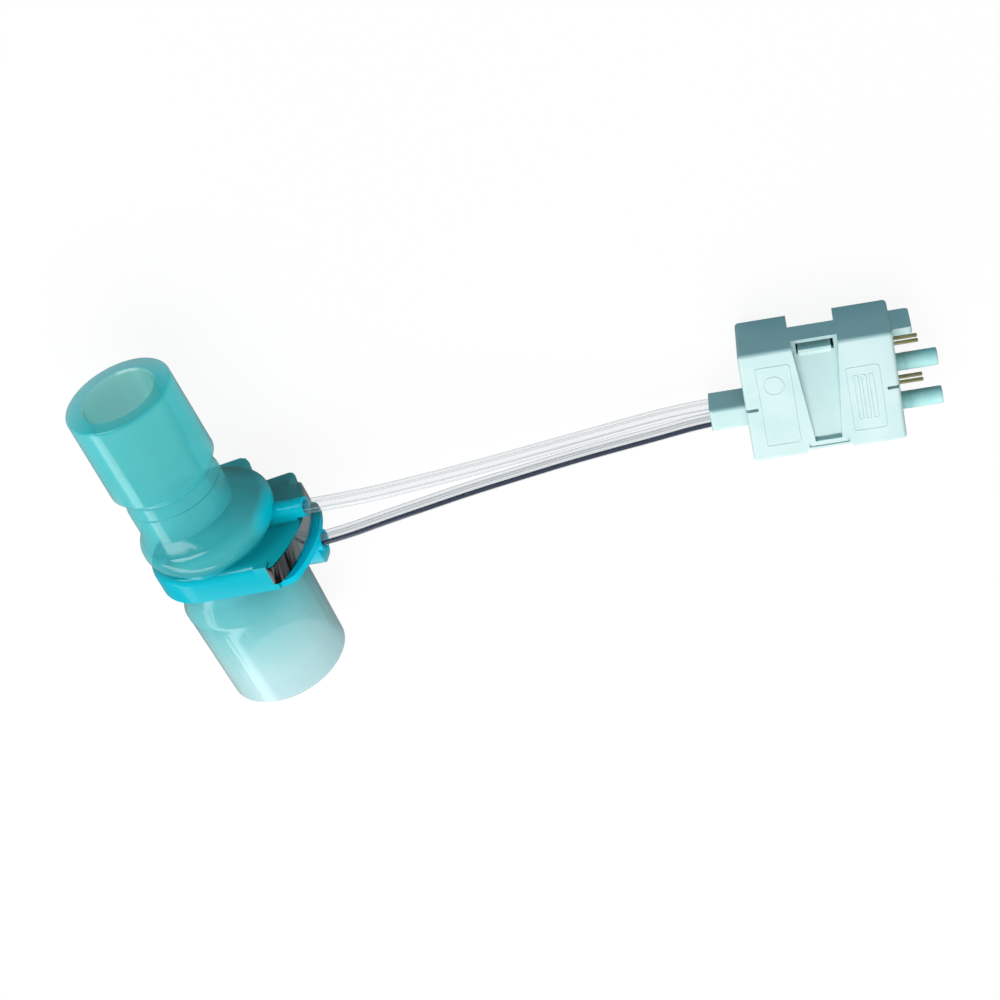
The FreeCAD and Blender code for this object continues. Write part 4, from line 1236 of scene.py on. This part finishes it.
@dataclass
class Studio:
    """The camera, the table, the sky and the soft lamps."""

    eye: Point = (0.063649, 0.232983, 0.508125)
    turns: Turns = (("Z", -11.1662), ("Y", 2.6409), ("X", -26.6492))
    focal_pixels: float = 2700.0
    image_pixels: float = 1000.0
    sensor_width: float = 36.0
    clip: Span = (0.01, 10.0)
    table_half: float = 3.0
    bounce: float = 0.18
    white: float = 0.95
    shadow: float = 0.08
    shine: float = 0.15
    ambient_back: float = 0.6
    ambient_front: float = 0.14
    ambient_span: Span = (-0.8, 0.8)
    back_tone: Colour = (255, 255, 255)
    front_tone: Colour = (164, 230, 255)
    front_span: Span = (0.0, 0.6)
    lamps: tuple[Lamp, ...] = LAMPS

    def camera(self) -> bpy.types.Object:
        """Sets up the camera from its place and its turns.

        Returns:
            The camera.
        """
        data = bpy.data.cameras.new("camera")
        data.sensor_width = self.sensor_width
        data.lens = self.focal_pixels / self.image_pixels * self.sensor_width
        data.clip_start, data.clip_end = self.clip
        camera = add_piece("camera", data)
        camera.matrix_world = Matrix.Translation(self.eye) @ turned(self.turns).to_4x4()
        bpy.context.scene.camera = camera
        return camera

    def seen(self, board: NodeBoard) -> Socket:
        """Tells rays that show the background from those that light the object.

        Args:
            board: the material's or the world's nodes.

        Returns:
            A socket that is 1 where the background shows.
        """
        path = board.add("ShaderNodeLightPath").outputs
        shine = board.times(path["Is Glossy Ray"], self.shine)
        return board.larger(board.larger(path["Is Camera Ray"], shine), path["Is Transmission Ray"])

    def table(self) -> None:
        """Lays a wide white table under the object; to the eye it is white and keeps a faint shadow."""
        half = self.table_half
        corners = np.array([[[x, y, 0.0] for x in (-half, half)] for y in (-half, half)])
        table = grid_mesh("table", corners, wrap_u=False, wrap_v=False)
        board = NodeBoard.for_material("table_white")
        glow = board.add("ShaderNodeEmission").outputs[0]
        faced = board.mixed(self.shadow, glow, board.matt(self.white))
        surface = board.mixed(self.seen(board), board.matt(self.bounce), faced)
        board.wire(surface, board.output.inputs[0])
        table.data.materials.append(board.owner)

    def sky(self) -> None:
        """Fills the surroundings with light: soft from behind, dim and cool in front, white to the eye."""
        world = bpy.data.worlds.new("studio")
        bpy.context.scene.world = world
        board = NodeBoard(world, "ShaderNodeOutputWorld")
        background = board.add("ShaderNodeBackground")
        place = board.add("ShaderNodeTexCoord")
        parts = board.add("ShaderNodeSeparateXYZ")
        board.wire(place.outputs["Generated"], parts.inputs[0])
        front = parts.outputs["Y"]
        seen = self.seen(board)
        strength = board.add("ShaderNodeMix", data_type="FLOAT")
        board.wire(seen, strength.inputs[0])
        ambient = (self.ambient_back, self.ambient_front)
        board.wire(board.spread(front, self.ambient_span, ambient), strength.inputs[2])
        strength.inputs[3].default_value = 1.0
        tone = board.blend(board.step(front, self.front_span), self.back_tone, self.front_tone)
        board.wire(board.blend(seen, tone, self.back_tone), background.inputs["Color"])
        board.wire(strength.outputs[0], background.inputs["Strength"])
        board.wire(background.outputs[0], board.output.inputs[0])

    def build(self) -> None:
        """Sets up everything round the object; the dressed pieces are there already."""
        self.camera()
        self.table()
        self.sky()
        for lamp in self.lamps:
            lamp.build()
        bpy.context.scene.view_settings.view_transform = "Standard"


def main() -> None:
    """Builds the tubes and the relief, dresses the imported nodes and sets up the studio."""
    logging.basicConfig(level=logging.INFO, format="%(message)s")
    PressureTube(
        name="upper_tube_clear",
        node="upper_tube",
        leaves_at=(-0.04432, 0.0040, 0.0240),
        route=UPPER_ROUTE,
        finish=TUBE_PALE,
        refraction_turns=(20.0, 62.0, 88.0, 133.0, 171.0, 206.0, 262.0, 318.0),
    ).build()
    PressureTube(
        name="lower_tube_clear",
        node="lower_tube",
        leaves_at=(-0.04278, -0.00503, 0.0219),
        route=LOWER_ROUTE,
        finish=TUBE_LINED,
        refraction_turns=(20.0, 140.0, 190.0, 198.0, 285.0),
    ).build()
    PlugRelief().build()
    dresser = Dresser()
    for node, finish in NODE_FINISHES.items():
        dresser.dress(node, finish, FLAP if node == "flap_leaf" else SENSOR)
    LOG.info("%d nodes dressed", len(dresser.dressed))
    Studio().build()


if __name__ == "__main__":
    main()
